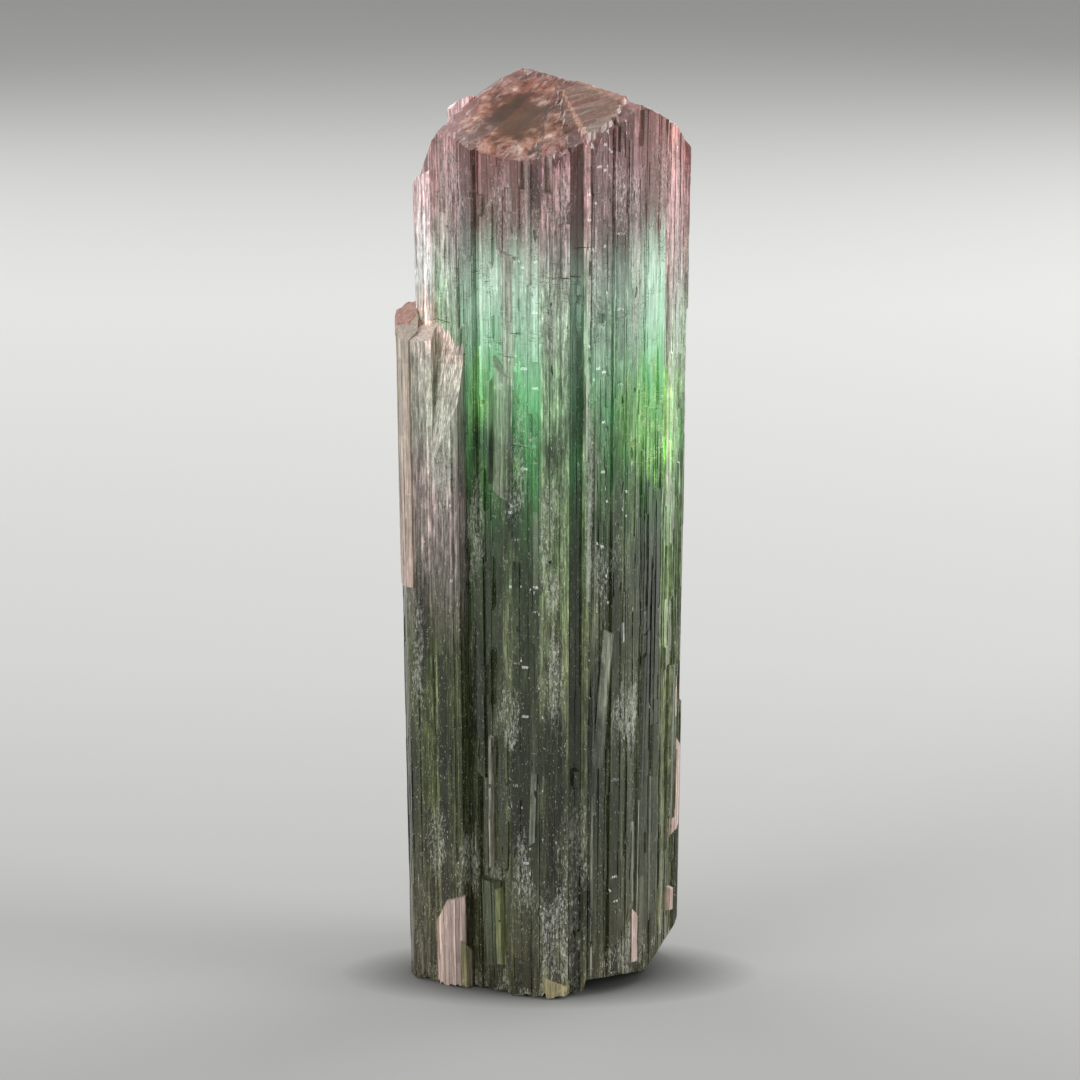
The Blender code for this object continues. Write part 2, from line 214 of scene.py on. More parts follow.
# Pale growths at the left of the foot, given in the same way
FOOT_FLAKES = {
    "foot_flake": (
        "pale_flake",
        ((-11.6, -5.6), (-11.4, -6.7), (-9.9, -7.8), (-8.9, -8.4), (-8.5, -8.3),
         (-8.2, -6.5), (-10.5, -5.0)),
        BELOW_FOOT, (-9.5, -8.0, 8.7), ((180.0, 66.0), (180.0, 22.0)),
    ),
    "foot_sliver": (
        "yellow_flake",
        ((-9.0, -8.7), (-8.4, -8.75), (-7.9, -8.2), (-7.5, -6.9), (-9.1, -6.8)),
        BELOW_FOOT, (-8.3, -8.6, 5.3), ((20.0, 40.0), (270.0, 20.0)),
    ),
}
# The smooth brown middle of the tip's front: its place, and how far it reaches
TIP_MIDDLE = (-2.3, -4.8, 87.1)
TIP_MIDDLE_REACH = (3.4, 4.8, 2.8)
# The worn plate left on the tip, and the pale sliver along its lower edge: their footprints, and how far
# each stands above the tip's face
TIP_PLATE = (
    (1.6, -2.0), (3.6, -1.3), (8.3, -6.0), (7.4, -8.4), (7.2, -9.3),
    (6.3, -10.1), (4.5, -11.1), (3.4, -9.4), (2.2, -8.1),
)
TIP_PLATE_RISE = 0.35
TIP_SLIVER = ((3.6, -10.6), (4.4, -9.7), (7.3, -8.5), (7.5, -9.6), (4.6, -11.6))
TIP_SLIVER_RISE = 0.40

# Blades on the front: finish, place across, low and high ends, width, how far proud, lean, and end slopes
FRONT_BLADES = (
    ("glassy_blade", -3.9, 50.5, 63.3, 2.5, 0.75, 1.0, 38.0, -30.0),
    ("pale_blade", 5.9, 23.1, 36.9, 1.25, 0.55, 5.5, 12.0, 0.0),
    ("green_blade", -4.9, 2.7, 11.6, 2.85, 0.55, -2.0, 4.0, 0.0),
    ("pale_blade", 8.7, 8.7, 17.0, 1.2, 0.35, -1.0, 0.0, 0.0),
    ("pale_blade", -0.85, 15.6, 23.0, 0.6, 0.50, 2.0, 20.0, 40.0),
    ("pink_blade", -1.35, 71.5, 83.6, 0.6, 0.45, 0.0, 25.0, 0.0),
    ("white_blade", 4.6, 40.0, 55.0, 0.30, 0.30, 0.6, 30.0, -30.0),
    ("pink_blade", 12.5, 48.0, 72.0, 0.5, 0.25, 0.0, 25.0, 30.0),
    ("tourmaline", 2.2, 36.5, 52.0, 0.9, 0.35, -0.5, 30.0, 20.0),
    ("white_blade", 7.75, 35.4, 37.6, 0.6, 0.40, -4.0, -45.0, 40.0),
    ("tourmaline", -6.1, 22.0, 46.0, 1.1, 0.30, 0.0, 35.0, -25.0),
    ("tourmaline", 9.9, 19.0, 33.5, 1.3, 0.35, 2.0, -25.0, 30.0),
    ("lime_stripe", -4.10, 3.0, 10.9, 0.70, 0.64, -2.0, 4.0, 0.0),
    ("pink_blade", -7.6, 29.0, 43.5, 0.8, 0.30, 1.5, 20.0, -20.0),
    ("pale_blade", 5.05, 8.0, 60.0, 0.16, 0.30, 0.3, 30.0, -30.0),
    ("glassy_blade", -5.05, 12.0, 26.0, 0.35, 0.25, 0.4, 30.0, -30.0),
    ("pale_blade", 10.6, 6.0, 21.0, 0.25, 0.25, -0.5, 30.0, -30.0),
    ("yellow_flake", 1.3, -1.0, 1.9, 3.4, 0.75, 4.0, 18.0, 0.0),
    ("glassy_blade", -3.3, 62.0, 74.5, 1.3, 0.30, 0.0, 10.0, -10.0),
    ("pale_blade", -7.75, 34.0, 66.5, 0.14, 0.30, 0.0, 30.0, -30.0),
    ("pale_blade", 4.3, 54.0, 75.0, 0.15, 0.30, 0.0, 30.0, -30.0),
    ("pale_blade", -0.3, 3.0, 22.0, 0.16, 0.35, 0.0, 30.0, -30.0),
    ("pale_blade", 9.3, 3.0, 19.0, 0.18, 0.30, 0.4, 30.0, -30.0),
    ("white_blade", -4.75, 51.5, 62.2, 0.18, 0.85, 1.0, 30.0, -30.0),
    ("white_blade", -3.05, 51.0, 61.8, 0.18, 0.85, 1.0, 30.0, -30.0),
)
FLAKES = (
    (8.9, 2.4, 7.7, 1.0, 0.70, 0.0, 45.0, 0.0),
    (13.2, 14.4, 23.0, 1.6, 0.60, 0.5, -35.0, 40.0),
    (13.2, 25.9, 30.3, 0.9, 0.40, 0.0, -20.0, 0.0),
    (12.8, 6.0, 8.4, 0.8, 0.45, 0.0, 0.0, 0.0),
)
BLADE_SUNK = 1.2
# A blade's bevel as a share of its width, and how far its ends lean outwards
BLADE_BEVEL = 0.28
BLADE_TOP_LEAN = 0.35
BLADE_FOOT_LEAN = 0.25
# Pits in the front: place across, low and high ends, width, and depth
FRONT_PITS = (
    (1.45, 83.2, 89.0, 3.9, -0.10),
    (-4.9, 11.6, 12.7, 2.5, 0.35),
    (5.75, 67.6, 68.6, 1.2, 0.45),
    (-3.4, 78.5, 81.0, 1.4, 0.40),
    (-5.6, 59.2, 59.8, 2.2, 0.55),
    (3.1, 69.8, 70.5, 1.6, 0.50),
    (9.6, 84.6, 88.0, 1.5, 0.55),
    (1.75, 84.2, 86.6, 0.5, 0.80),
    (7.35, 84.3, 88.4, 0.45, 0.80),
    (0.6, 80.6, 84.4, 1.0, 0.50),
    (-1.9, 80.9, 83.8, 0.7, 0.45),
    (4.0, 80.2, 85.0, 0.8, 0.50),
)
PIT_NARROWING = 0.7
PIT_OPENING = 1.5
PIT_TOP_LEAN = 0.4
PIT_FOOT_LEAN = 0.2
PIT_ROW_PITCH = 1.0
PIT_SEED = 5
# Blades and pits on the sides and back are strewn by the solid model's rule
BACK_BLADE_COUNT = 16
BACK_FIRST_ANGLE = 352.0
BACK_LAST_ANGLE = 525.0
BACK_PIT_COUNT = 7
BACK_SEED = 7
# What is drawn for each blade: low end, length, width, how far proud, and the slopes of its ends
BACK_BLADE_DRAWS = ((-1.0, 50.0), (12.0, 38.0), (1.0, 3.0), (0.35, 0.7), (-40.0, 40.0), (-30.0, 30.0))
BACK_BLADE_HIGHEST = 82.0
# What is drawn for each pit: low end, length, width and depth
BACK_PIT_DRAWS = ((6.0, 76.0), (0.8, 4.0), (1.4, 3.4), (0.4, 0.8))

# Small shapes strewn over the prism. A growth's section is out of the prism and across, and its rings are
# its height, scale, and how far out they are moved.
GROWTH_SECTION = ((-0.5, -0.5), (0.35, -0.42), (0.5, -0.05), (0.38, 0.40), (-0.5, 0.5))
GROWTH_RINGS = ((-0.5, 0.25, -0.55), (-0.36, 0.9, 0.0), (0.42, 1.0, 0.0), (0.5, 0.35, -0.4))
# Each shape stands in this part of its slot
SLOT_MIDDLE = (0.3, 0.7)
STREWING_SIZES = (
    ("Shape", "Object"), ("Slots Round", "Int"), ("Slots Up", "Int"), ("First Angle", "Float"),
    ("Last Angle", "Float"), ("Low", "Float"), ("High", "Float"), ("Share", "Float"), ("Sunk", "Float"),
    ("Sunk Most", "Float"), ("Smallest", "Vector"), ("Largest", "Vector"), ("Tilt", "Float"), ("Seed", "Int"),
)
# What is strewn: its finish, then the sizes above after the shape
STREWN = {
    "strewn_growths": (
        "tourmaline", 54, 9, 165.0, 525.0, 1.0, 82.0, 0.5, 0.0, 0.25,
        (0.35, 0.25, 2.0), (0.9, 0.85, 7.0), 0.015, 21,
    ),
    "chips": (
        "broken", 46, 26, 165.0, 525.0, 0.0, 85.0, 0.4, -0.35, 0.0,
        (0.4, 0.15, 0.4), (0.9, 0.55, 2.0), 0.3, 31,
    ),
    "cracks": (
        "broken", 12, 9, 185.0, 515.0, 52.0, 76.0, 0.45, 0.3, 2.6,
        (1.5, 1.5, 0.05), (4.5, 5.0, 0.12), 0.12, 51,
    ),
}
# Sockets of the random value node: the first input and the output of each kind, and its ID and seed
RANDOM_SOCKETS = {"FLOAT_VECTOR": (0, 0), "FLOAT": (2, 1), "INT": (4, 2), "BOOLEAN": (6, 3)}
RANDOM_ID_SOCKET = 7
RANDOM_SEED_SOCKET = 8

# Where the foot is broken: a point on each break, and the way and slope that the break faces
FOOT_BREAKS = (
    ((11.7, -2.5, 2.7), 350.0, 121.0),
    ((13.0, -2.0, 5.2), 350.0, 97.0),
    ((1.0, 9.4, 0.3), 90.0, 156.0),
)
FOOT_LEDGE_CORNER = Vector((3.9, -10.6, 1.5))
FOOT_LEDGE_FACING = 304.0
FOOT_LEDGE_RISE = 17.0

# Reliefs of the cut surfaces: noise's scale across and deep, its slice of the noise, and its height
TIP_HILLS = (0.22, 0.22, 3.0, 0.16)
TIP_GRAIN = (2.4, 1.6, 5.0, 0.03)
TIP_CHIPS = (0.8, 0.8, 12.0, 1.0)
TIP_FINE_CHIPS = (2.2, 2.2, 1.0, 0.6)
PLATE_SHEAR = (0.22, 0.12)
PLATE_LINES = (1.0, 1.7, 7.0, 0.32)
PLATE_GRAIN = (0.4, 4.5, 2.0, 0.10)
FOOT_CHIPS = (0.9, 0.9, 2.0, 1.0)
FOOT_FINE_CHIPS = (2.6, 2.6, 4.0, 0.5)
# The tip's broken facets, with the seed of their tilts, and where the smooth middle gives way to them
FACET_SEED = 1
FACET_SCALE = (0.85, 0.65)
FACET_TILT = 3.7
FACET_HEIGHT = 0.40
TIP_SMOOTH_REACH = 0.7
TIP_LEAST_ROUGH = 0.08
# The chipped rims: where each begins as a share of the radius, and how deep the chips are. The tip's are
# deeper at the front, which begins this far before the middle and is full after this length.
TIP_RIM_START = 0.80
TIP_RIM_DEPTH = 1.5
TIP_FRONT_START = 6.0
TIP_FRONT_LENGTH = 3.0
TIP_FRONT_DEPTH = 4.5
FOOT_RIM_START = 0.78
FOOT_RIM_DEPTH = 3.0
FOOT_CHIP_SHARE = 0.25
# The cutters' grids, each with two corners and a step, how far off their other ends are, and their limits
TIP_GRID = ((-17, -16), (19, 18), 0.25)
FOOT_GRID = ((-18, -15), (17, 18), 0.3)
OVER_TIP = 99.0
UNDER_FOOT = -6.0
TIP_CUT_LOWEST = 50.0
FOOT_BREAK_HIGHEST = 30.0

# Each column's look: its first angle, how clear it is (0 is frosted skin and 1 a clear window), how many
# millimetres its colour zones are shifted up, and how many stops lighter it is
COLUMN_LOOKS = (
    (165.0, 0.25, 0.0, 0.2),
    (193.0, 0.20, 1.0, 0.3),
    (207.0, 0.05, 0.0, 0.35),
    (214.0, 0.10, -1.0, -0.1),
    (221.0, 0.70, 0.0, -0.5),
    (232.0, 1.00, 0.5, 0.35),
    (243.0, 0.85, 0.5, 0.15),
    (247.0, 0.40, -0.5, -0.1),
    (254.0, 0.90, 0.0, 0.2),
    (263.5, 0.60, -1.0, -0.6),
    (265.5, 0.05, -1.5, 0.15),
    (275.8, 0.95, -1.0, -0.7),
    (282.8, 0.20, -1.0, 0.3),
    (285.5, 0.50, -1.5, -0.65),
    (295.0, 0.60, -0.5, -0.5),
    (309.0, 0.45, 0.0, 0.2),
    (316.0, 0.80, 1.0, 0.35),
    (326.0, 0.90, 0.5, 0.55),
    # The two columns of the right edge are lighter as a painted highlight where light grazes them
    (341.0, 0.00, -5.0, 0.6),
    (356.0, 0.15, -4.0, 0.45),
    (371.0, 0.25, 0.0, 0.0),
    (384.0, 0.95, -1.0, 0.2),
    (401.0, 0.35, 0.5, 0.0),
    (418.0, 0.15, 1.0, 0.2),
    (430.0, 0.90, -1.0, 0.1),
    (452.0, 0.50, 0.0, -0.2),
    (469.0, 1.00, 1.5, 0.3),
    (486.0, 0.20, -0.5, 0.1),
    (505.0, 0.75, 0.0, -0.1),
)

# Soft ovals on the crystal: place across, height, and how wide and tall each reaches. The glows are
# painted light, lime light where light passes through the crystal; white frost covers the frosts; and the
# shades are darker.
GLOWS = (
    (-6.0, 60.0, 1.5, 4.2),
    (-3.3, 52.8, 2.2, 1.6),
    (-6.0, 53.2, 1.6, 1.4),
    (10.4, 57.3, 3.8, 7.0),
    (11.4, 53.5, 2.2, 3.0),
)
FROSTS = (
    (1.0, 67.2, 1.2, 4.0),
    (1.0, 46.5, 1.6, 7.5),
    (0.9, 32.5, 1.6, 4.5),
    (4.6, 50.0, 0.8, 11.0),
    (5.8, 43.5, 1.6, 4.0),
    (8.3, 28.0, 1.6, 4.5),
    (-3.0, 28.5, 1.4, 4.0),
    (-2.4, 54.0, 1.5, 7.0),
    (-6.8, 46.0, 1.3, 6.0),
    (-7.4, 12.5, 1.4, 4.0),
    (-1.8, 12.0, 1.4, 5.0),
    (1.7, 6.0, 3.2, 6.5),
    (3.2, 15.0, 1.8, 6.0),
    (9.0, 3.0, 1.6, 3.5),
    (-10.0, 55.0, 1.6, 7.0),
    (13.8, 66.0, 1.6, 15.0),
    (9.5, 70.0, 1.2, 6.0),
    (-9.0, 80.0, 2.2, 5.0),
    (-4.0, 79.0, 1.3, 5.0),
    (2.2, 80.0, 1.2, 4.0),
    (8.5, 80.0, 2.0, 5.0),
    (12.5, 80.0, 1.6, 5.0),
    (-12.3, 33.0, 0.7, 8.0),
    (-10.6, 14.0, 0.9, 5.0),
    (-4.9, 12.2, 1.4, 0.8),
    (-9.0, 0.8, 4.0, 1.2),
    (-1.0, 0.6, 5.0, 1.1),
    (8.0, 3.4, 4.0, 1.2),
    (-1.0, 76.0, 1.0, 6.0),
    (4.8, 71.0, 0.9, 5.0),
)
# The shades are partly painted shade, in grooves, gaps and behind blades, and partly the crystal's own darker
# colour
SHADES = (
    (0.9, 18.5, 1.7, 14.0),
    (-6.4, 31.5, 0.9, 10.0),
    (1.2, 54.6, 1.5, 2.6),
    (3.3, 60.5, 1.1, 6.5),
    (-0.8, 81.3, 0.9, 4.0),
    (-3.1, 51.0, 0.7, 6.5),
    (10.8, 37.0, 1.0, 8.0),
    (-2.2, 20.0, 1.0, 9.0),
    (5.4, 27.0, 0.8, 10.0),
    (-5.9, 54.5, 1.6, 3.5),
    (-12.0, 36.0, 0.9, 7.0),
    (-9.6, 24.0, 0.8, 9.0),
    (-13.2, 18.0, 0.7, 9.0),
    (4.0, 9.0, 1.0, 5.0),
)

# The ovals' ragged edges: noise's scale sideways and up, and its strength, and how far outside it reaches
OVAL_RAGS = ((0.9, 0.22, 1.1), (2.3, 0.5, 0.7))
OVAL_RAG_REACH = 0.6

# A face that points up more than this is a crystal's own sloping end
LEVEL_FACE = 0.5

# Working finishes. A coat has its own colour, and covers the zoned colour beneath by a share.
ZONED_FINISHES = ("tourmaline", "side_crystal", "tip_face")
COATS = {
    "tip_plate": ((0.41, 0.215, 0.145), 0.8),
    "tip_sliver": ((0.56, 0.40, 0.33), 0.8),
    "pink_edge": ((0.54, 0.39, 0.36), 0.75),
    "rose": ((0.52, 0.20, 0.19), 0.75),
    "pale_flake": ((0.68, 0.51, 0.45), 0.95),
    "yellow_flake": ((0.42, 0.36, 0.18), 0.75),
    "pale_blade": ((0.40, 0.43, 0.34), 0.6),
    "white_blade": ((0.62, 0.64, 0.58), 0.5),
    "pink_blade": ((0.62, 0.50, 0.48), 0.4),
    "glassy_blade": ((0.58, 0.53, 0.46), 0.5),
    "green_blade": ((0.055, 0.075, 0.030), 0.6),
    "lime_stripe": ((0.25, 0.28, 0.12), 0.85),
    "broken": ((0.42, 0.44, 0.36), 0.25),
}

# Colours by height in millimetres: of the clear windows, the frosted skin, and the side crystals
WINDOW_ZONES = (
    (0.0, (0.080, 0.078, 0.032)),
    (20.0, (0.050, 0.064, 0.026)),
    (44.0, (0.036, 0.060, 0.024)),
    (50.0, (0.045, 0.14, 0.040)),
    (56.0, (0.08, 0.38, 0.11)),
    (61.0, (0.26, 0.78, 0.34)),
    (66.0, (0.56, 0.96, 0.66)),
    (72.0, (0.68, 0.96, 0.76)),
    (74.5, (0.50, 0.62, 0.50)),
    (77.0, (0.28, 0.20, 0.175)),
    (83.0, (0.36, 0.17, 0.165)),
    (90.0, (0.28, 0.10, 0.08)),
)
SKIN_ZONES = (
    (0.0, (0.14, 0.13, 0.070)),
    (12.0, (0.078, 0.088, 0.040)),
    (24.0, (0.080, 0.096, 0.044)),
    (38.0, (0.13, 0.16, 0.075)),
    (50.0, (0.15, 0.23, 0.10)),
    (60.0, (0.26, 0.40, 0.23)),
    (70.0, (0.40, 0.50, 0.38)),
    (74.5, (0.42, 0.40, 0.36)),
    (78.0, (0.38, 0.265, 0.255)),
    (84.0, (0.46, 0.265, 0.27)),
    (90.0, (0.40, 0.18, 0.16)),
)
SIDE_ZONES = (
    (0.0, (0.12, 0.105, 0.060)),
    (18.0, (0.060, 0.072, 0.024)),
    (34.0, (0.072, 0.088, 0.030)),
    (42.0, (0.25, 0.22, 0.19)),
    (50.0, (0.44, 0.35, 0.33)),
    (57.0, (0.50, 0.50, 0.42)),
    (63.0, (0.70, 0.62, 0.55)),
    (65.0, (0.90, 0.70, 0.63)),
    (67.6, (0.86, 0.70, 0.66)),
    (69.0, (0.95, 0.92, 0.90)),
    (72.0, (0.97, 0.96, 0.94)),
    (76.0, (0.92, 0.73, 0.73)),
    (82.0, (0.86, 0.58, 0.58)),
)
# The tip's front: brown in its smooth middle, and red about it
TIP_BROWNS = ((0.35, (0.095, 0.024, 0.005)), (0.65, (0.155, 0.048, 0.012)))
TIP_REDS = (
    (0.36, (0.13, 0.030, 0.018)),
    (0.50, (0.37, 0.125, 0.078)),
    (0.60, (0.56, 0.27, 0.20)),
    (0.70, (0.88, 0.66, 0.58)),
)
# Painted light: the lime glow where light passes through, and its brighter lines on cracks there
PAINTED_GLOW_LIME = (0.27, 0.64, 0.14)
PAINTED_GLOW_BRIGHT_LIME = (0.80, 1.00, 0.42)
CRACK_GREEN = (0.05, 0.11, 0.05)
# The white of frost, also painted on the reflection lines, and two lines down its pink near the tip
FROST_AND_SHEEN = (0.56, 0.57, 0.49)
# Bright specks, partly the frost's white grains and partly painted glints
SPECK = (0.84, 0.84, 0.78)
PINK_FROST_AND_SHEEN = (0.74, 0.60, 0.60)
CRYSTAL_IOR = 1.63
ABSORPTION_COLOR = (0.60, 0.68, 0.52, 1.0)
ABSORPTION_DENSITY = 6.0

# Noises of the material: scale across, deep and up in millimetres, detail, and roughness
NOISES = {
    "streak": ((0.8, 0.8, 0.03), 2.0, 0.6),
    "fine": ((6.0, 6.0, 0.25), 1.0, 0.6),
    "weave": ((2.6, 2.6, 0.55), 5.0, 0.80),
    "patches": ((0.40, 0.40, 0.10), 2.0, 0.65),
    "crust": ((4.6, 4.6, 1.5), 4.0, 0.80),
    "grit": ((6.5, 6.5, 2.6), 2.0, 0.7),
    "mottle": ((0.55, 0.55, 0.55), 3.0, 0.6),
    "crack": ((0.7, 0.7, 3.5), 2.0, 0.6),
}
# Ranges below are given as from and to, and where there are four numbers the last two are the new range.
# Where zones wander by streaks, in millimetres, where columns are clear, and where the ovals are full
ZONE_WANDER = 8.0
PATCH_STRENGTH = -1.6
CLEAR_EDGE = (0.2, 0.8)
SPOT_EDGE = 0.7
# The tip's brown middle and its red end at these reaches, and the red begins at this place across
BROWN_EDGE = (0.70, 1.30)
RED_EDGE = (1.60, 2.40)
LEFT_EDGE = (-8.5, -6.0)
LEFT_WANDER = 9.0
# Crack lines lie where their noise has this level, dark ones at these heights
CRACK_LEVEL = 0.52
CRACK_WIDTH = (0.006, 0.03)
CRACK_PLACES = (0.48, 0.56)
DARK_CRACK_HEIGHTS = (61.0, 66.0)
DARK_CRACK_SHARE = 0.8
GLOW_STREAKS = (0.3, 0.6, 0.3, 0.75)
# How even sloping ends, coats and glassy windows are
LEVEL_EVENNESS = 0.8
COAT_EVENNESS = 0.5
GLASSY_EVENNESS = 0.45
GLASSY_HEIGHTS = (48.0, 60.0, 0.45, 0.85)
CALM_WEAVE = 0.25
# Stops of light by strip, fine lines, weave and shade, and the contrast by height
TONE_STOPS = 0.40
FINE_STOPS = (0.3, 0.7, -0.7, 0.7)
WEAVE_STOPS = (0.34, 0.66, -1.1, 1.1)
SHADE_STOPS = -1.6
FOOT_CONTRAST = (44.0, 56.0, 1.35, 1.0)
COLUMN_CONTRAST = (30.0, 50.0, 0.45, 1.0)
# Frost by crust, patches and ovals, with painted reflection lines on the lightest strips, and the cover of
# both on the mineral and on bare coats and tip
FROST_EDGE = (0.58, 0.82)
FROST_PATCHES = 0.25
FROST_SPOTS = 0.13
LINE_TONES = (1.2, 2.4)
LINE_STREAKS = (0.45, 0.58)
LINE_FROST_AND_SHEEN = 0.5
FROST_COVER = (0.85, 0.1)
PINK_FROST_HEIGHTS = (71.0, 76.0)
# Bright specks, partly frost grains and partly painted glints: their edge, their share in frost ovals, and
# cover
SPECK_EDGE = (0.665, 0.70)
SPECK_SPOTS = 0.055
SPECK_COVER = (0.75, 0.15)
# The share of light that passes into skin and windows, side crystals, the tip and frost
COLUMN_PASSING = (0.30, 0.62)
SIDE_PASSING = 0.28
TIP_PASSING = 0.40
FROST_PASSING = 0.1
# Roughness by frost, what is added on coats and tip, and the fine bumps with their height
FROST_ROUGHNESS = (0.0, 0.6, 0.10, 0.45)
BARE_ROUGHNESS = 0.08
BUMP_STRENGTH = 0.4
BUMP_HEIGHT = 0.05

# The floor's painted light by distance behind the crystal in metres, a pool of light behind it and darker
# in front and far off, and the oval of painted shadow under it: its middle, how far it reaches across and
# deep in millimetres, and how dark it is
FLOOR_NEAR = -0.1
FLOOR_FAR = 1.4
FLOOR_PAINTED_LIGHT = (
    (-0.06, (0.41, 0.41, 0.40)),
    (0.16, (0.57, 0.57, 0.56)),
    (0.50, (0.64, 0.64, 0.63)),
    (1.15, (0.54, 0.54, 0.53)),
)
SHADE_MIDDLE = (0.8, -1.0, 0.0)
SHADE_REACH = (18.5, 13.0, 1.0)
SHADE_DEPTH = 0.76
SHADE_EDGE = (0.55, 1.15)
SHADE_COLOR = (0.02, 0.02, 0.02)
FLOOR_HALF = 4.0

# Light panels: name, place in metres, width, height and power
LIGHTS = (
    ("front_left", (-0.52, -0.58, 0.22), 0.40, 0.40, 3.0),
    ("right", (0.66, -0.20, 0.22), 0.35, 0.40, 3.0),
    ("overhead", (0.05, 0.05, 0.85), 0.50, 0.50, 1.2),
    ("back_left", (-0.42, 0.58, 0.36), 0.55, 0.50, 1.6),
    ("back_right", (0.45, 0.58, 0.36), 0.55, 0.50, 2.6),
)
LIGHT_TARGET = (0.0, 0.0, 0.045)
AIR_COLOR = (0.80, 0.80, 0.79, 1.0)
AIR_STRENGTH = 0.60


# The shape of the prism

def facing(compass, slope):
    """The outward unit normal of a face that slopes down towards a compass angle."""
    turn = math.radians(compass)
    lean = math.radians(slope)
    return Vector((math.sin(lean) * math.cos(turn), math.sin(lean) * math.sin(turn), math.cos(lean)))


def taper(height):
    """How wide the prism is at a height, as a share of its full width."""
    return FOOT_SCALE + (1.0 - FOOT_SCALE) * height / FULL_SCALE_HEIGHT


def tapered(x, y, z):
    """Where a place on the full-width section lies at a height."""
    scale = taper(z)
    return Vector((AXIS.x + (x - AXIS.x) * scale, AXIS.y + (y - AXIS.y) * scale, z))


def section_radius(angle):
    """The radius of the rounded three-sided section at an angle."""
    return SECTION_RADIUS * (1.0 + CORNER_BULGE * math.cos(3.0 * math.radians(angle - CORNER_ANGLE)))


def around(angle):
    """The place on the section at an angle."""
    turn = math.radians(angle)
    reach = section_radius(angle)
    return Vector((AXIS.x + reach * math.cos(turn), AXIS.y + reach * math.sin(turn)))


def angle_at(x, height):
    """The angle where the front of the section has this x at a height, found by halving."""
    low, high = FRONT_ANGLES
    wanted = AXIS.x + (x - AXIS.x) / taper(height)
    for _ in range(HALVINGS):
        middle = (low + high) / 2.0
        if around(middle).x < wanted:
            low = middle
        else:
            high = middle
    return (low + high) / 2.0


def face_frame(angle):
    """The point on the section at an angle, with the ways along it and out of it."""
    ahead = around(angle + 0.5) - around(angle - 0.5)
    along = Vector((ahead.x, ahead.y, 0.0)).normalized()
    outward = Vector((along.y, -along.x, 0.0))
    return around(angle).to_3d(), along, outward


# Node helpers

class Signal:
    """A value in a node tree. Arithmetic on signals adds the nodes that work it out."""

    def __init__(self, tree, socket):
        self.tree = tree
        self.socket = socket

    def maths(self, operation, *others):
        inputs = dict(enumerate((self, *others)))
        return signal(self.tree, "ShaderNodeMath", inputs, operation=operation)

    def __add__(self, other):
        return self.maths("ADD", other)

    def __sub__(self, other):
        return self.maths("SUBTRACT", other)

    def __rsub__(self, other):
        return self * -1.0 + other

    def __mul__(self, other):
        return self.maths("MULTIPLY", other)

    def __truediv__(self, other):
        return self.maths("DIVIDE", other)


def fill_inputs(tree, node, inputs):
    """Fills a node's inputs with values, or with links from signals."""
    for key, value in inputs.items():
        if isinstance(value, Signal):
            tree.links.new(value.socket, node.inputs[key])
        else:
            node.inputs[key].default_value = value


def add_node(tree, kind, inputs=None, **settings):
    made = tree.nodes.new(kind)
    for name, value in settings.items():
        setattr(made, name, value)
    fill_inputs(tree, made, inputs or {})
    return made


def signal(tree, kind, inputs=None, output=0, **settings):
    """Adds a node and gives the signal of one of its outputs."""
    return Signal(tree, add_node(tree, kind, inputs, **settings).outputs[output])


def vector_maths(tree, operation, first, second):
    """Vector arithmetic. The second value is a number if the operation is SCALE."""
    key = "Scale" if operation == "SCALE" else 1
    return signal(tree, "ShaderNodeVectorMath", {0: first, key: second}, operation=operation)


def join_vector(tree, x, y, z):
    return signal(tree, "ShaderNodeCombineXYZ", {0: x, 1: y, 2: z})


def split_vector(tree, vector):
    node = add_node(tree, "ShaderNodeSeparateXYZ", {0: vector})
    return [Signal(tree, output) for output in node.outputs]


def new_tree(name, sizes):
    """A Geometry Nodes tree with a geometry input, one named input per size, and a material.

    Gives the tree, and the signals of its inputs by name.
    """
    tree = bpy.data.node_groups.new(name, "GeometryNodeTree")
    named = (("Geometry", "Geometry"), *sizes, ("Material", "Material"))
    for label, kind in named:
        tree.interface.new_socket(label, in_out="INPUT", socket_type="NodeSocket" + kind)
    tree.interface.new_socket("Geometry", in_out="OUTPUT", socket_type="NodeSocketGeometry")
    source = tree.nodes.new("NodeGroupInput")
    return tree, {label: Signal(tree, source.outputs[label]) for label, _ in named}


def finish_tree(tree, given, geometry):
    """Ends a tree by making its instances real and setting their material."""
    real = signal(tree, "GeometryNodeRealizeInstances", {"Geometry": geometry})
    coated = signal(tree, "GeometryNodeSetMaterial", {"Geometry": real, "Material": given["Material"]})
    add_node(tree, "NodeGroupOutput", {"Geometry": coated})
    return tree


def plain_mesh(made):
    """Puts the evaluated mesh in the place of the object's own, and removes its modifiers."""
    graph = bpy.context.evaluated_depsgraph_get()
    mesh = bpy.data.meshes.new_from_object(made.evaluated_get(graph))
    made.modifiers.clear()
    made.data = mesh
    return made


def run_tree(made, tree, values, finish):
    """Runs a tree on an object with its inputs set by name, and keeps the result as plain mesh."""
    values = {**values, "Material": bpy.data.materials[finish]}
    modifier = made.modifiers.new(tree.name, "NODES")
    modifier.node_group = tree
    for item in tree.interface.items_tree:
        if item.in_out == "INPUT" and item.name in values:
            modifier[item.identifier] = values[item.name]
    return plain_mesh(made)


def random_value(tree, kind, limits, seed, identity=None):
    """A random value between two limits, or by one chance, for each point or for each identity."""
    first, output = RANDOM_SOCKETS[kind]
    inputs = dict(enumerate(limits, first))
    inputs[RANDOM_SEED_SOCKET] = seed
    if identity is not None:
        inputs[RANDOM_ID_SOCKET] = identity
    return signal(tree, "FunctionNodeRandomValue", inputs, output, data_type=kind)


def attribute(tree, name, kind):
    return signal(tree, "GeometryNodeInputNamedAttribute", {"Name": name}, "Attribute", data_type=kind)


# Mesh helpers

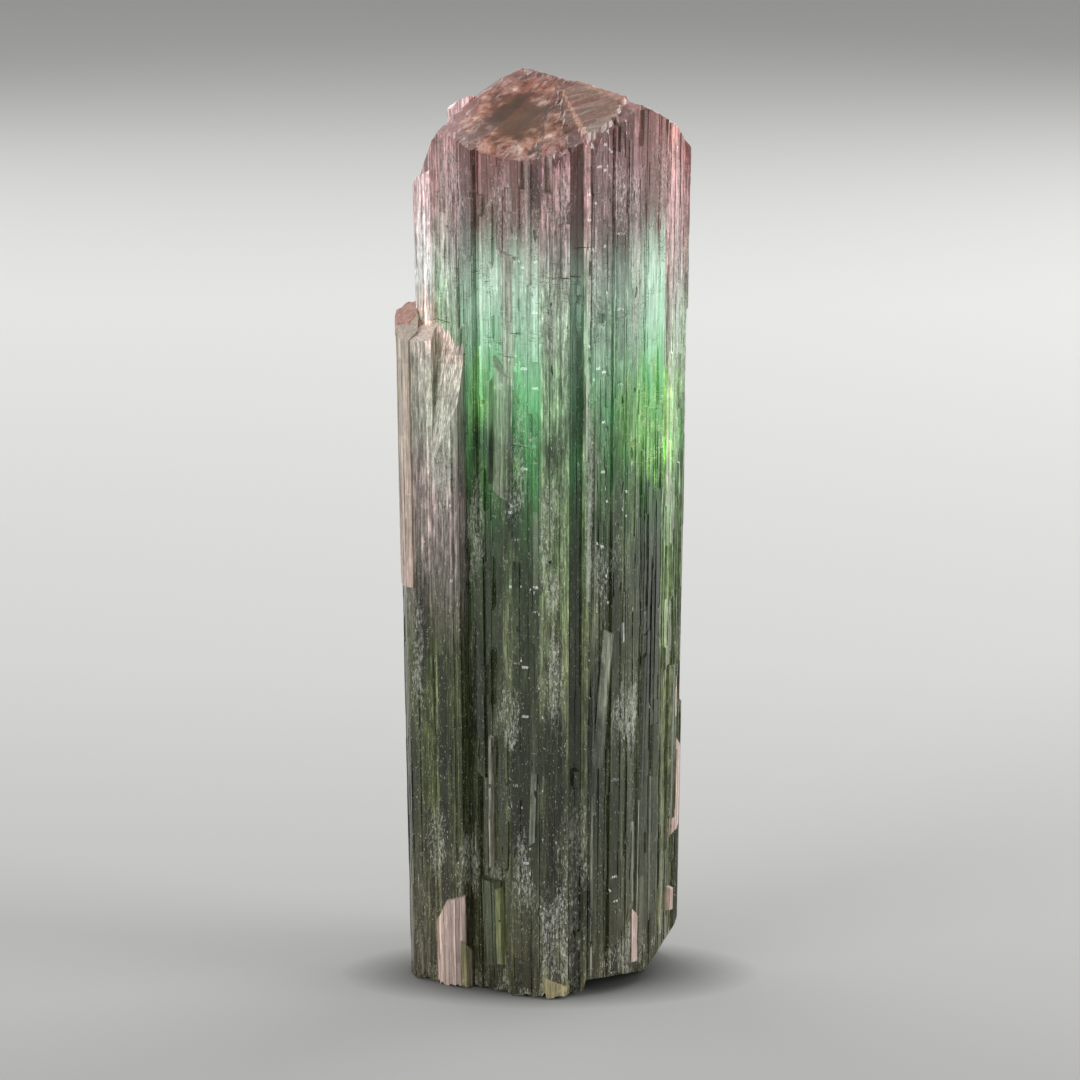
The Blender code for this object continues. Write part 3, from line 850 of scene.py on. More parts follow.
def add_object(name, data=None):
    """A new object in the scene, with an empty mesh if no data is given."""
    made = bpy.data.objects.new(name, data or bpy.data.meshes.new(name))
    bpy.context.scene.collection.objects.link(made)
    return made


def store_mesh(build, made, most_corners=3):
    """Splits the faces that have more corners than this, turns all outwards, and stores them."""
    many = [face for face in build.faces if len(face.verts) > most_corners]
    bmesh.ops.triangulate(build, faces=many)
    bmesh.ops.recalc_face_normals(build, faces=build.faces[:])
    build.to_mesh(made.data)
    build.free()
    return made


def set_attribute(mesh, name, kind, domain, values):
    key = {"FLOAT_VECTOR": "vector", "FLOAT_COLOR": "color"}.get(kind, "value")
    mesh.attributes.new(name, kind, domain).data.foreach_set(key, values)


# Growth strips

def make_stria_tree():
    """Raises each strip to its own height in runs up the crystal, and leans its face a little."""
    sizes = [(size, "Float") for size in STRIA_SIZES]
    tree, given = new_tree("grow_striae", (*sizes, ("Seed", "Int")))
    seed = given["Seed"]
    strip = attribute(tree, "strip", "INT")
    run = attribute(tree, "run", "INT")
    length = random_value(tree, "INT", RUN_ROWS, seed, strip)
    group = ((run + strip * 7.0) / length).maths("FLOOR")
    long_id = strip * 61.0 + group
    short_id = strip * 89.0 + run
    either_way = (-1.0, 1.0)
    terrace = random_value(tree, "FLOAT", either_way, seed + 1.0, long_id) * given["Terrace Height"]
    ledge = random_value(tree, "FLOAT", either_way, seed + 2.0, short_id)
    ledge = ledge.maths("ABSOLUTE").maths("POWER", 4.0) * given["Stria Height"]
    lean = random_value(tree, "FLOAT", either_way, seed + 3.0, long_id) * given["Lean Slope"]
    lean = lean * attribute(tree, "lean_reach", "FLOAT")
    place = signal(tree, "GeometryNodeInputPosition")
    wave = signal(tree, "ShaderNodeTexNoise", {"Vector": place, "Scale": WAVE_SCALE, "Detail": 3.0})
    rise = terrace + lean - ledge + (wave - 0.5) * given["Waviness"]
    offset = vector_maths(tree, "SCALE", attribute(tree, "outward", "FLOAT_VECTOR"), rise)
    moved = signal(tree, "GeometryNodeSetPosition", {"Geometry": given["Geometry"], "Offset": offset})
    return finish_tree(tree, given, moved)


def strip_widths(length, draw):
    """Widths that fill a length: fine strips with flat windows among them."""
    widths = []
    while sum(widths) < length:
        window = draw.random() < WINDOW_SHARE
        widths.append(draw.uniform(*(WINDOW_STRIP if window else FINE_STRIP)))
    scale = length / sum(widths)
    return [width * scale for width in widths]


def column_strips(draw):
    """The main prism's strips: two ends on the section, how far proud, and how wide.

    Each column begins with a groove, and its strips stand proud in bundles.
    """
    strips = []
    ends = [start for start, _ in COLUMNS[1:]] + [COLUMNS[0][0] + 360.0]
    for (start, proud), end in zip(COLUMNS, ends):
        length = (around(end) - around(start)).length
        angle = start
        bundle = 0.0
        for number, width in enumerate([GROOVE_WIDTH] + strip_widths(length - GROOVE_WIDTH, draw)):
            after = angle + (end - start) * width / length
            if number == 0:
                base = proud - GROOVE_DEPTH
            else:
                if draw.random() < BUNDLE_CHANGE:
                    bundle = draw.gauss(0.0, BUNDLE_RISE)
                base = proud + bundle
            strips.append((around(angle), around(after), base, width))
            angle = after
    return strips


def polygon_strips(outline, draw):
    """The strips of a smaller prism, on the straight sides of its outline."""
    points = [Vector(point) for point in outline]
    strips = []
    for start, end in zip(points, points[1:] + points[:1]):
        side = end - start
        place = start
        for width in strip_widths(side.length, draw):
            after = place + side.normalized() * width
            strips.append((place, after, draw.gauss(0.0, BUNDLE_RISE / 2.0), width))
            place = after
    return strips


def row_heights(low, high, pitch):
    """The rows' heights, their runs, and whether they may shift: pairs of rows a short step apart."""
    count = max(1, round((high - low) / pitch))
    rows = [(low, 0, False)]
    for number in range(1, count):
        height = low + (high - low) * number / count
        rows.append((height - ROW_STEP / 2.0, number - 1, True))
        rows.append((height + ROW_STEP / 2.0, number, True))
    rows.append((high, count - 1, False))
    return rows


def strip_tones(strips, rows, draw):
    """How light each strip is, in steps up the crystal: 0 is the average and 1 is one spread lighter."""
    tones = []
    for _ in range(strips):
        own = draw.gauss(0.0, STRIP_TONES)
        tones.append([own + draw.gauss(0.0, STEP_TONES) for _ in range(rows // TONE_ROWS + 1)])
    return tones


def prism_faces(strips, rows, draw):
    """The faces of a striated prism, with their tones: both ends, then the strips and steps by rows."""
    count = 2 * strips
    faces = [tuple(range(count))[::-1], tuple(range((rows - 1) * count, rows * count))]
    tones = [0.0, 0.0]
    tone_of = strip_tones(strips, rows, draw)
    for row in range(rows - 1):
        for number in range(count):
            a, b = row * count + number, row * count + (number + 1) % count
            faces.append((a, b, b + count, a + count))
            # The steps between strips are darker by painted shade
            tones.append(tone_of[number // 2][row // TONE_ROWS] - (number % 2) * RISER_SHADE)
    return faces, tones


def striated_prism(name, strips, low, high, kind, seed, finish, pitch=ROW_PITCH):
    """A tapering prism whose outline is made of growth strips, raised and leaned by the stria tree."""
    draw = random.Random(seed)
    rows = row_heights(low, high, pitch)
    shifts = [draw.uniform(-0.5, 0.5) * pitch * ROW_SHIFT for _ in strips]
    points, strip_ids, runs, leans, outwards = [], [], [], [], []
    for height, run, may_shift in rows:
        for number, (start, end, base, width) in enumerate(strips):
            side = end - start
            outward = Vector((side.y, -side.x)).normalized()
            lean_reach = min(width, WIDEST_LEAN) / 2.0
            z = height + (shifts[number] if may_shift else 0.0)
            for corner, lean in ((start, -lean_reach), (end, lean_reach)):
                flat = corner + outward * base
                points.append(tapered(flat.x, flat.y, z) * MM)
                strip_ids.append(number)
                runs.append(run)
                leans.append(lean)
                outwards.extend((outward.x * MM, outward.y * MM, 0.0))
    faces, tones = prism_faces(len(strips), len(rows), draw)
    mesh = bpy.data.meshes.new(name)
    mesh.from_pydata(points, [], faces)
    set_attribute(mesh, "tone", "FLOAT", "FACE", tones)
    working = (
        ("strip", "INT", strip_ids),
        ("run", "INT", runs),
        ("lean_reach", "FLOAT", leans),
        ("outward", "FLOAT_VECTOR", outwards),
    )
    for label, value_kind, values in working:
        set_attribute(mesh, label, value_kind, "POINT", values)
    made = add_object(name, mesh)
    run_tree(made, STRIA_TREE, {**dict(zip(STRIA_SIZES, STRIAE[kind])), "Seed": seed}, finish)
    for label, _, _ in working:
        made.data.attributes.remove(made.data.attributes[label])
    return made


def cut_flat(made, cuts):
    """Cuts an object's ends off by planes of (point, normal) and closes the cuts."""
    build = bmesh.new()
    build.from_mesh(made.data)
    tone = build.faces.layers.float["tone"]
    for point, normal in cuts:
        everything = build.verts[:] + build.edges[:] + build.faces[:]
        plane = {"plane_co": Vector(point) * MM, "plane_no": normal}
        bmesh.ops.bisect_plane(build, geom=everything, dist=CUT_MERGE, clear_outer=True, **plane)
        rim = [edge for edge in build.edges if edge.is_boundary]
        for face in bmesh.ops.holes_fill(build, edges=rim, sides=0)["faces"]:
            face[tone] = 0.0
    return store_mesh(build, made, 4)


def cut_ends(made, place, ends):
    """Cuts a prism that stands at a place on the section at two heights, each with its own normal."""
    return cut_flat(made, [(tapered(place.x, place.y, end), normal.normalized()) for end, normal in ends])


def section_outline(frame, corners):
    """An outline on the ground from corners given along and out of the prism's face."""
    place, along, outward = frame
    return [(place + along * across + outward * out).xy for across, out in corners]


def make_crystal(name, finish, outline, low, tip, faces, seed):
    """A smaller crystal: a striated prism on a closed outline, with its tip's faces cut flat."""
    strips = polygon_strips(outline, random.Random(seed))
    made = striated_prism(name, strips, low, tip[2] + ABOVE_TIP, "crystal", seed, finish)
    return cut_flat(made, [(tip, facing(compass, slope)) for compass, slope in faces])


def make_blade(name, angle, low, high, width, proud, lean, top_slope, foot_slope, finish, seed):
    """A narrow crystal half sunk in the prism's face at an angle round it, with sloping ends."""
    place, along, outward = face_frame(angle)
    half = width / 2.0
    bevel = min(BLADE_BEVEL * width, proud)
    corners = (
        (half, proud - bevel),
        (half - bevel, proud),
        (bevel - half, proud),
        (-half, proud - bevel),
        (-half, -BLADE_SUNK),
        (half, -BLADE_SUNK),
    )
    outline = section_outline((place, along, outward), corners)
    strips = polygon_strips(outline, random.Random(seed))
    made = striated_prism(name, strips, low - width, high + width, "blade", seed, finish)
    slope = math.radians(top_slope)
    top = UPRIGHT * math.cos(slope) + along * math.sin(slope) + outward * BLADE_TOP_LEAN
    slope = math.radians(foot_slope)
    foot = -UPRIGHT * math.cos(slope) + along * math.sin(slope) + outward * BLADE_FOOT_LEAN
    cut_ends(made, place, ((high, top), (low, foot)))
    pivot = tapered(place.x, place.y, (low + high) / 2.0) * MM
    swing = Matrix.Rotation(math.radians(lean), 4, -outward)
    made.data.transform(Matrix.Translation(pivot) @ swing @ Matrix.Translation(-pivot))
    return made


def make_pit(name, angle, low, high, width, depth):
    """A cutter for a pit in the prism's face at an angle round it, narrowing to a flat floor."""
    place, along, outward = face_frame(angle)
    half = width / 2.0
    floor_half = half * PIT_NARROWING
    corners = ((-half, PIT_OPENING), (-floor_half, -depth), (floor_half, -depth), (half, PIT_OPENING))
    outline = section_outline((place, along, outward), corners)
    strips = polygon_strips(outline, random.Random(PIT_SEED))
    made = striated_prism(name, strips, low - width, high + width, "pit", PIT_SEED, "broken", PIT_ROW_PITCH)
    ends = ((high, UPRIGHT - outward * PIT_TOP_LEAN), (low, -UPRIGHT - outward * PIT_FOOT_LEAN))
    return cut_ends(made, place, ends)


# Small growths, chips and cracks strewn over the prism

def make_strewing_tree():
    """Places one shape in each slot of a lattice round and up the prism, some of them left empty."""
    tree, size = new_tree("strew_on_prism", STREWING_SIZES)
    seed = size["Seed"]
    points = signal(tree, "GeometryNodePoints", {"Count": size["Slots Round"] * size["Slots Up"]})
    index = signal(tree, "GeometryNodeInputIndex")
    level = (index / size["Slots Round"]).maths("FLOOR")
    slot = index - level * size["Slots Round"]
    sideways = random_value(tree, "FLOAT", SLOT_MIDDLE, seed)
    upwards = random_value(tree, "FLOAT", SLOT_MIDDLE, seed + 1.0)
    share = (slot + sideways) / size["Slots Round"]
    angle = (size["Last Angle"] - size["First Angle"]) * share + size["First Angle"]
    share = (level + upwards) / size["Slots Up"]
    height = (size["High"] - size["Low"]) * share + size["Low"]
    turn = angle.maths("RADIANS")
    bulge = ((turn - math.radians(CORNER_ANGLE)) * 3.0).maths("COSINE") * CORNER_BULGE + 1.0
    sunk = random_value(tree, "FLOAT", (size["Sunk"], size["Sunk Most"]), seed + 5.0)
    narrowing = (1.0 - FOOT_SCALE) / FULL_SCALE_HEIGHT
    reach = (bulge * SECTION_RADIUS - sunk) * (height * narrowing + FOOT_SCALE)
    across = turn.maths("COSINE") * reach + AXIS.x
    deep = turn.maths("SINE") * reach + AXIS.y
    place = vector_maths(tree, "SCALE", join_vector(tree, across, deep, height), MM)
    moved = signal(tree, "GeometryNodeSetPosition", {"Geometry": points, "Position": place})
    tilt_x = random_value(tree, "FLOAT", (-1.0, 1.0), seed + 2.0) * size["Tilt"]
    tilt_y = random_value(tree, "FLOAT", (-1.0, 1.0), seed + 3.0) * size["Tilt"]
    inputs = {
        "Points": moved,
        "Selection": random_value(tree, "BOOLEAN", (size["Share"],), seed + 6.0),
        "Instance": signal(tree, "GeometryNodeObjectInfo", {"Object": size["Shape"]}, "Geometry"),
        "Rotation": join_vector(tree, tilt_x, tilt_y, turn),
        "Scale": random_value(tree, "FLOAT_VECTOR", (size["Smallest"], size["Largest"]), seed + 4.0),
    }
    return finish_tree(tree, size, signal(tree, "GeometryNodeInstanceOnPoints", inputs))


def growth_shape():
    """A sliver of crystal one millimetre wide, deep and tall, with tapering ends and a ridge."""
    build = bmesh.new()
    rings = []
    for height, scale, lift in GROWTH_RINGS:
        places = [(out * scale + lift, across * scale, height) for out, across in GROWTH_SECTION]
        rings.append([build.verts.new([value * MM for value in place]) for place in places])
    for lower, upper in zip(rings, rings[1:]):
        for number in range(len(GROWTH_SECTION)):
            after = (number + 1) % len(GROWTH_SECTION)
            build.faces.new((lower[number], lower[after], upper[after], upper[number]))
    build.faces.new(rings[0][::-1])
    build.faces.new(rings[-1])
    return store_mesh(build, add_object("growth_shape"))


def pebble_shape(name, subdivisions, roughness, seed):
    """A ball one millimetre across with its points pushed about, to cut chips or open cracks."""
    draw = random.Random(seed)
    build = bmesh.new()
    bmesh.ops.create_icosphere(build, subdivisions=subdivisions, radius=0.5 * MM)
    for vertex in build.verts:
        vertex.co *= 1.0 + draw.uniform(-roughness, roughness)
    return store_mesh(build, add_object(name))


def strew(name, shape):
    finish, *sizes = STREWN[name]
    values = {label: value for (label, _), value in zip(STREWING_SIZES, (shape, *sizes))}
    return run_tree(add_object(name), STREWING_TREE, values, finish)


# Cut surfaces with relief

def plane_height(point, normal, x, y):
    """How high a plane is over a place on the ground."""
    point = Vector(point)
    return point.z - (normal.x * (x - point.x) + normal.y * (y - point.y)) / normal.z


def relief_cutter(name, grid_size, height_at, far, finishes, finish_at):
    """A closed cutter: a fine grid at height_at(x, y) with walls up or down to a far level.

    Each of the grid's faces takes the finish that finish_at(x, y) names.
    """
    (x0, y0), (x1, y1), step = grid_size
    columns = round((x1 - x0) / step)
    lines = round((y1 - y0) / step)
    build = bmesh.new()
    grid = []
    for line in range(lines + 1):
        y = y0 + (y1 - y0) * line / lines
        places = [(x0 + (x1 - x0) * column / columns, y) for column in range(columns + 1)]
        grid.append([build.verts.new((x * MM, y * MM, height_at(x, y) * MM)) for x, y in places])
    for line in range(lines):
        for column in range(columns):
            a, b = grid[line][column], grid[line][column + 1]
            c, d = grid[line + 1][column + 1], grid[line + 1][column]
            number = finishes.index(finish_at(a.co.x / MM + step / 2.0, a.co.y / MM + step / 2.0))
            for corners in ((a, b, c), (a, c, d)):
                build.faces.new(corners).material_index = number
    rim = grid[0][:-1]
    rim += [row[-1] for row in grid[:-1]]
    rim += grid[-1][:0:-1]
    rim += [row[0] for row in grid[:0:-1]]
    far_rim = [build.verts.new((vertex.co.x, vertex.co.y, far * MM)) for vertex in rim]
    for number in range(len(rim)):
        after = (number + 1) % len(rim)
        build.faces.new((rim[number], rim[after], far_rim[after], far_rim[number]))
    build.faces.new(far_rim)
    made = store_mesh(build, add_object(name))
    for finish in finishes:
        made.data.materials.append(bpy.data.materials[finish])
    return made


def is_within(x, y, outline):
    """Whether a place lies inside a closed outline, by counting the sides to its right."""
    within = False
    for (x0, y0), (x1, y1) in zip(outline, outline[1:] + outline[:1]):
        if (y0 > y) != (y1 > y) and x < x0 + (x1 - x0) * (y - y0) / (y1 - y0):
            within = not within
    return within


def tip_finish(x, y):
    if is_within(x, y, TIP_SLIVER):
        return "tip_sliver"
    return "tip_plate" if is_within(x, y, TIP_PLATE) else "tip_face"


def bumps(x, y, relief):
    """Noise in height, from a row of the table of reliefs."""
    across, deep, level, height = relief
    return noise.noise(Vector((x * across, y * deep, level))) * height


def limited(value, low=0.0, high=1.0):
    return min(max(value, low), high)


def axis_share(x, y, scale):
    """How far a place is from the prism's axis, as a share of the section's radius."""
    return Vector((x - AXIS.x, y - AXIS.y)).length / (SECTION_RADIUS * scale)


def facet_relief(x, y):
    """Small broken facets, each tilted its own way."""
    across, deep = x * FACET_SCALE[0], y * FACET_SCALE[1]
    middle = noise.voronoi(Vector((across, deep, 0.0)))[1][0]
    tilt = noise.noise_vector(middle * FACET_TILT)
    return ((across - middle.x) * tilt.x + (deep - middle.y) * tilt.y) * FACET_HEIGHT


def tip_relief(x, y):
    """Relief on the tip's faces: smooth in the middle of the front, broken facets about it.

    The rim is chipped, and deeper at the front.
    """
    offset = ((x - TIP_MIDDLE[0]) / TIP_MIDDLE_REACH[0], (y - TIP_MIDDLE[1]) / TIP_MIDDLE_REACH[1])
    rough = limited(Vector(offset).length - TIP_SMOOTH_REACH, TIP_LEAST_ROUGH)
    chips = bumps(x, y, TIP_CHIPS) + bumps(x, y, TIP_FINE_CHIPS)
    front = limited((-y - TIP_FRONT_START) / TIP_FRONT_LENGTH)
    rim = max(0.0, axis_share(x, y, 1.0) - TIP_RIM_START)
    depth = TIP_RIM_DEPTH + TIP_FRONT_DEPTH * front
    broken = facet_relief(x, y) + bumps(x, y, TIP_GRAIN)
    return bumps(x, y, TIP_HILLS) + broken * rough + min(0.0, chips) * rim * depth


def plate_relief(x, y):
    """The worn plate's fine lines, which run across it."""
    sheared = x * PLATE_SHEAR[0] + y * PLATE_SHEAR[1]
    return bumps(sheared, y, PLATE_LINES) + bumps(x, y, PLATE_GRAIN)


def tip_height(x, y):
    """The top surface of the crystal: the lowest of the tip's planes, with relief on it."""
    planes = [(TIP, facing(compass, slope)) for compass, slope in TIP_FACES]
    planes += [(point, facing(compass, slope)) for point, compass, slope in SHOULDERS]
    level = min(plane_height(point, normal, x, y) for point, normal in planes)
    finish = tip_finish(x, y)
    if finish == "tip_face":
        level += tip_relief(x, y)
    else:
        level += (TIP_SLIVER_RISE if finish == "tip_sliver" else TIP_PLATE_RISE) + plate_relief(x, y)
    return max(level, TIP_CUT_LOWEST)


def ledge_height(x, y):
    """The roof of the ledge broken out under the front right of the foot."""
    turn = math.radians(FOOT_LEDGE_FACING)
    out_x, out_y = math.cos(turn), math.sin(turn)
    from_x, from_y = x - FOOT_LEDGE_CORNER.x, y - FOOT_LEDGE_CORNER.y
    outward = from_x * out_x + from_y * out_y
    right = -from_x * out_y + from_y * out_x
    if right < 0.0:
        return 0.0
    return FOOT_LEDGE_CORNER.z + outward * math.tan(math.radians(FOOT_LEDGE_RISE))


def foot_height(x, y):
    """The foot's underside: flat where it rests, with breaks, a ledge, and a chipped rim."""
    level = max(0.0, ledge_height(x, y))
    for point, compass, slope in FOOT_BREAKS:
        break_height = plane_height(point, facing(compass, slope), x, y)
        level = max(level, min(break_height, FOOT_BREAK_HIGHEST))
    rim = max(0.0, axis_share(x, y, FOOT_SCALE) - FOOT_RIM_START)
    chips = bumps(x, y, FOOT_CHIPS) + bumps(x, y, FOOT_FINE_CHIPS)
    return level + max(0.0, chips + FOOT_CHIP_SHARE) * rim * FOOT_RIM_DEPTH


# Joining and finishing the mesh

def combine(target, operation, tools):
    """Joins the tools to the target or cuts them from it. Each face keeps its own working material."""
    for tool in tools:
        modifier = target.modifiers.new(tool.name, "BOOLEAN")
        modifier.operation = operation
        modifier.object = tool
        modifier.solver = "MANIFOLD"
        modifier.material_mode = "TRANSFER"
    plain_mesh(target)
    for tool in tools:
        bpy.data.objects.remove(tool, do_unlink=True)


def column_look(place):
    """The clarity, zone shift and lightness of the column that a place lies in."""
    turn = math.degrees(math.atan2(place.y - AXIS.y, place.x - AXIS.x))
    angle = (turn - COLUMN_LOOKS[0][0]) % 360.0 + COLUMN_LOOKS[0][0]
    return [look for start, *look in COLUMN_LOOKS if start <= angle][-1]


def oval_share(place, ovals):
    """How far inside the soft ovals a place is, from 0 at a ragged edge to about 1 in the middle."""
    inside = max(
        1.0 - ((place.x - x) / wide) ** 2 - ((place.z - z) / tall) ** 2 for x, z, wide, tall in ovals
    )
    ragged = sum(
        noise.noise(Vector((place.x * side, place.y * side, place.z * up))) * strength
        for side, up, strength in OVAL_RAGS
    )
    return max(0.0, inside + ragged * limited(inside + OVAL_RAG_REACH))


def mark_finishes(mesh, material):
    """Turns the working materials into face attributes that the one material left reads."""
    names = [mesh.materials[face.material_index].name for face in mesh.polygons]
    coats, columns, spots = [], [], []
    for name, face in zip(names, mesh.polygons):
        color, cover = COATS.get(name, ((0.0, 0.0, 0.0), 0.0))
        coats.extend((*color, cover))
        columns.extend(column_look(face.center / MM))
    for vertex in mesh.vertices:
        place = vertex.co / MM
        spots.extend(oval_share(place, ovals) for ovals in (GLOWS, FROSTS, SHADES))
    for finish in ZONED_FINISHES[1:]:
        set_attribute(mesh, finish, "FLOAT", "FACE", [float(name == finish) for name in names])
    levels = [float(face.normal.z > LEVEL_FACE) for face in mesh.polygons]
    set_attribute(mesh, "level_face", "FLOAT", "FACE", levels)
    set_attribute(mesh, "coat", "FLOAT_COLOR", "FACE", coats)
    set_attribute(mesh, "column_look", "FLOAT_VECTOR", "FACE", columns)
    set_attribute(mesh, "spots", "FLOAT_VECTOR", "POINT", spots)
    mesh.materials.clear()
    mesh.materials.append(material)
    mesh.polygons.foreach_set("material_index", [0] * len(names))
    mesh.polygons.foreach_set("use_smooth", [False] * len(names))
    mesh.update()


def make_side_crystals():
    """The crystals along the left side and the pale growths at the foot."""
    made = []
    for first_seed, crystals in ((71, SIDE_CRYSTALS), (81, FOOT_FLAKES)):
        for seed, (name, data) in enumerate(crystals.items(), first_seed):
            made.append(make_crystal(name, *data, seed))
    return made


def make_front_growths():
    """The blades of the front, and the flakes at its foot and right edge."""
    flakes = [("pale_flake", *flake) for flake in FLAKES]
    made = []
    for label, base_seed, growths in (("front_blade", 40, FRONT_BLADES), ("flake", 60, flakes)):
        for number, (finish, x, low, high, *rest) in enumerate(growths, 1):
            angle = angle_at(x, (low + high) / 2.0)
            name = f"{label}_{number}"
            made.append(make_blade(name, angle, low, high, *rest, finish, base_seed + number))
    return made


def back_draws(count, limits):
    """The angle and the drawn sizes of each growth or pit on the sides and back, by number."""
    draw = random.Random(BACK_SEED)
    for number in range(1, count + 1):
        angle = BACK_FIRST_ANGLE + (BACK_LAST_ANGLE - BACK_FIRST_ANGLE) * ((number - 0.5) / count)
        yield number, angle, [draw.uniform(*pair) for pair in limits]


def make_back_growths():
    """The blades of the sides and back, drawn by the same rule as the solid model's."""
    made = []
    for number, angle, sizes in back_draws(BACK_BLADE_COUNT, BACK_BLADE_DRAWS):
        low, tall, width, proud, *slopes = sizes
        high = min(low + tall, BACK_BLADE_HIGHEST)
        name = f"back_blade_{number}"
        made.append(make_blade(name, angle, low, high, width, proud, 0.0, *slopes, "tourmaline", number))
    return made


def make_pits():
    made = []
    for number, (x, low, high, *rest) in enumerate(FRONT_PITS, 1):
        made.append(make_pit(f"front_pit_{number}", angle_at(x, (low + high) / 2.0), low, high, *rest))
    for number, angle, (low, tall, *rest) in back_draws(BACK_PIT_COUNT, BACK_PIT_DRAWS):
        made.append(make_pit(f"back_pit_{number}", angle, low, low + tall, *rest))
    return made


def make_crystal_mesh():
    """The whole crystal as one closed mesh."""
    strips = column_strips(random.Random(STRIP_SEED))
    body = striated_prism(
        "crystal", strips, BELOW_FOOT, HEIGHT + ABOVE_TIP, "body", BODY_SEED, "tourmaline"
    )
    tip_finishes = ("tip_face", "tip_plate", "tip_sliver")
    tip = relief_cutter("tip_cutter", TIP_GRID, tip_height, OVER_TIP, tip_finishes, tip_finish)
    combine(body, "DIFFERENCE", [tip])
    growth = growth_shape()
    joined = make_side_crystals() + make_front_growths() + make_back_growths()
    combine(body, "UNION", joined + [strew("strewn_growths", growth)])
    chip = pebble_shape("chip_shape", 1, 0.25, 2)
    crack = pebble_shape("crack_shape", 2, 0.12, 4)
    foot = relief_cutter(
        "foot_cutter", FOOT_GRID, foot_height, UNDER_FOOT, ("broken",), lambda x, y: "broken"
    )
    combine(body, "DIFFERENCE", make_pits() + [strew("chips", chip), strew("cracks", crack), foot])
    for shape in (growth, chip, crack):
        bpy.data.objects.remove(shape, do_unlink=True)
    return body


# The mineral's material

def noise_signal(tree, place, scale, detail, roughness):
    """Noise over the crystal in millimetres, with its own scale across, deep and up."""
    mapped = signal(tree, "ShaderNodeMapping", {"Vector": place, "Scale": scale})
    inputs = {"Vector": mapped, "Scale": 1.0, "Detail": detail, "Roughness": roughness}
    return signal(tree, "ShaderNodeTexNoise", inputs)


def spread(value, low, high, to_low=0.0, to_high=1.0):
    """Maps a signal from one range onto another and holds it there."""
    inputs = {0: value, 1: low, 2: high, 3: to_low, 4: to_high}
    return signal(value.tree, "ShaderNodeMapRange", inputs, clamp=True)


def greatest(first, *others):
    for other in others:
        first = first.maths("MAXIMUM", other)
    return first


def color_ramp(value, stops):
    node = add_node(value.tree, "ShaderNodeValToRGB", {0: value})
    ramp = node.color_ramp
    while len(ramp.elements) < len(stops):
        ramp.elements.new(1.0)
    for element, (place, color) in zip(ramp.elements, stops):
        element.position = place
        element.color = (*color, 1.0)
    return Signal(value.tree, node.outputs[0])


def mix_color(tree, share, first, second, blend="MIX"):
    """Mixes two colours, each a signal or red, green and blue."""
    colors = [color if isinstance(color, Signal) else (*color, 1.0) for color in (first, second)]
    inputs = {0: share, 6: colors[0], 7: colors[1]}
    return signal(tree, "ShaderNodeMix", inputs, 2, data_type="RGBA", blend_type=blend)


def mix_value(tree, share, first, second):
    return signal(tree, "ShaderNodeMix", {0: share, 2: first, 3: second})


def mesh_value(tree, name, output="Fac"):
    return signal(tree, "ShaderNodeAttribute", output=output, attribute_name=name)


def zone_color(height, zones):
    return color_ramp(height / HEIGHT, [(place / HEIGHT, color) for place, color in zones])


def shaded(tree, color, stops):
    """A colour made lighter or darker by a number of stops."""
    doubling = signal(tree, "ShaderNodeMath", {0: 2.0, 1: stops}, operation="POWER")
    return mix_color(tree, 1.0, color, join_vector(tree, doubling, doubling, doubling), "MULTIPLY")


def crystal_signals(tree):
    """What the looks are worked out from: places, noises, and the mesh's own attributes."""
    known = SimpleNamespace()
    place = signal(tree, "ShaderNodeTexCoord", output="Object")
    known.place = signal(tree, "ShaderNodeMapping", {"Vector": place, "Scale": (1 / MM,) * 3})
    known.across, _, known.height = split_vector(tree, known.place)
    for name, sizes in NOISES.items():
        setattr(known, name, noise_signal(tree, known.place, *sizes))
    known.tone = mesh_value(tree, "tone")
    known.coat = mesh_value(tree, "coat", "Color")
    known.cover = mesh_value(tree, "coat", "Alpha")
    known.is_side = mesh_value(tree, "side_crystal")
    known.is_tip = mesh_value(tree, "tip_face")
    clarity, shift, known.lightness = split_vector(tree, mesh_value(tree, "column_look", "Vector"))
    spots = split_vector(tree, mesh_value(tree, "spots", "Vector"))
    known.glow, known.frosted, known.shade = (spread(spot, 0.0, SPOT_EDGE) for spot in spots)
    known.warped = (known.streak - 0.5) * ZONE_WANDER + known.height - shift
    known.clear = spread((known.patches - 0.5) * PATCH_STRENGTH + clarity, *CLEAR_EDGE)
    known.bare = greatest(known.is_tip, known.cover)
    return known


def tip_color(tree, known, skin):
    """Smooth brown in the middle of the tip's front, red about it, and skin at its back and left."""
    offset = vector_maths(tree, "SUBTRACT", known.place, TIP_MIDDLE)
    offset = vector_maths(tree, "DIVIDE", offset, TIP_MIDDLE_REACH)
    wander = known.mottle - 0.5
    reach = wander + signal(tree, "ShaderNodeVectorMath", {0: offset}, "Value", operation="LENGTH")
    brown = color_ramp(known.mottle, TIP_BROWNS)
    front = mix_color(tree, spread(reach, *BROWN_EDGE), brown, color_ramp(known.mottle, TIP_REDS))
    front = mix_color(tree, spread(reach, *RED_EDGE), front, skin)
    left = spread(wander * LEFT_WANDER + known.across, *LEFT_EDGE)
    return mix_color(tree, left, skin, front)


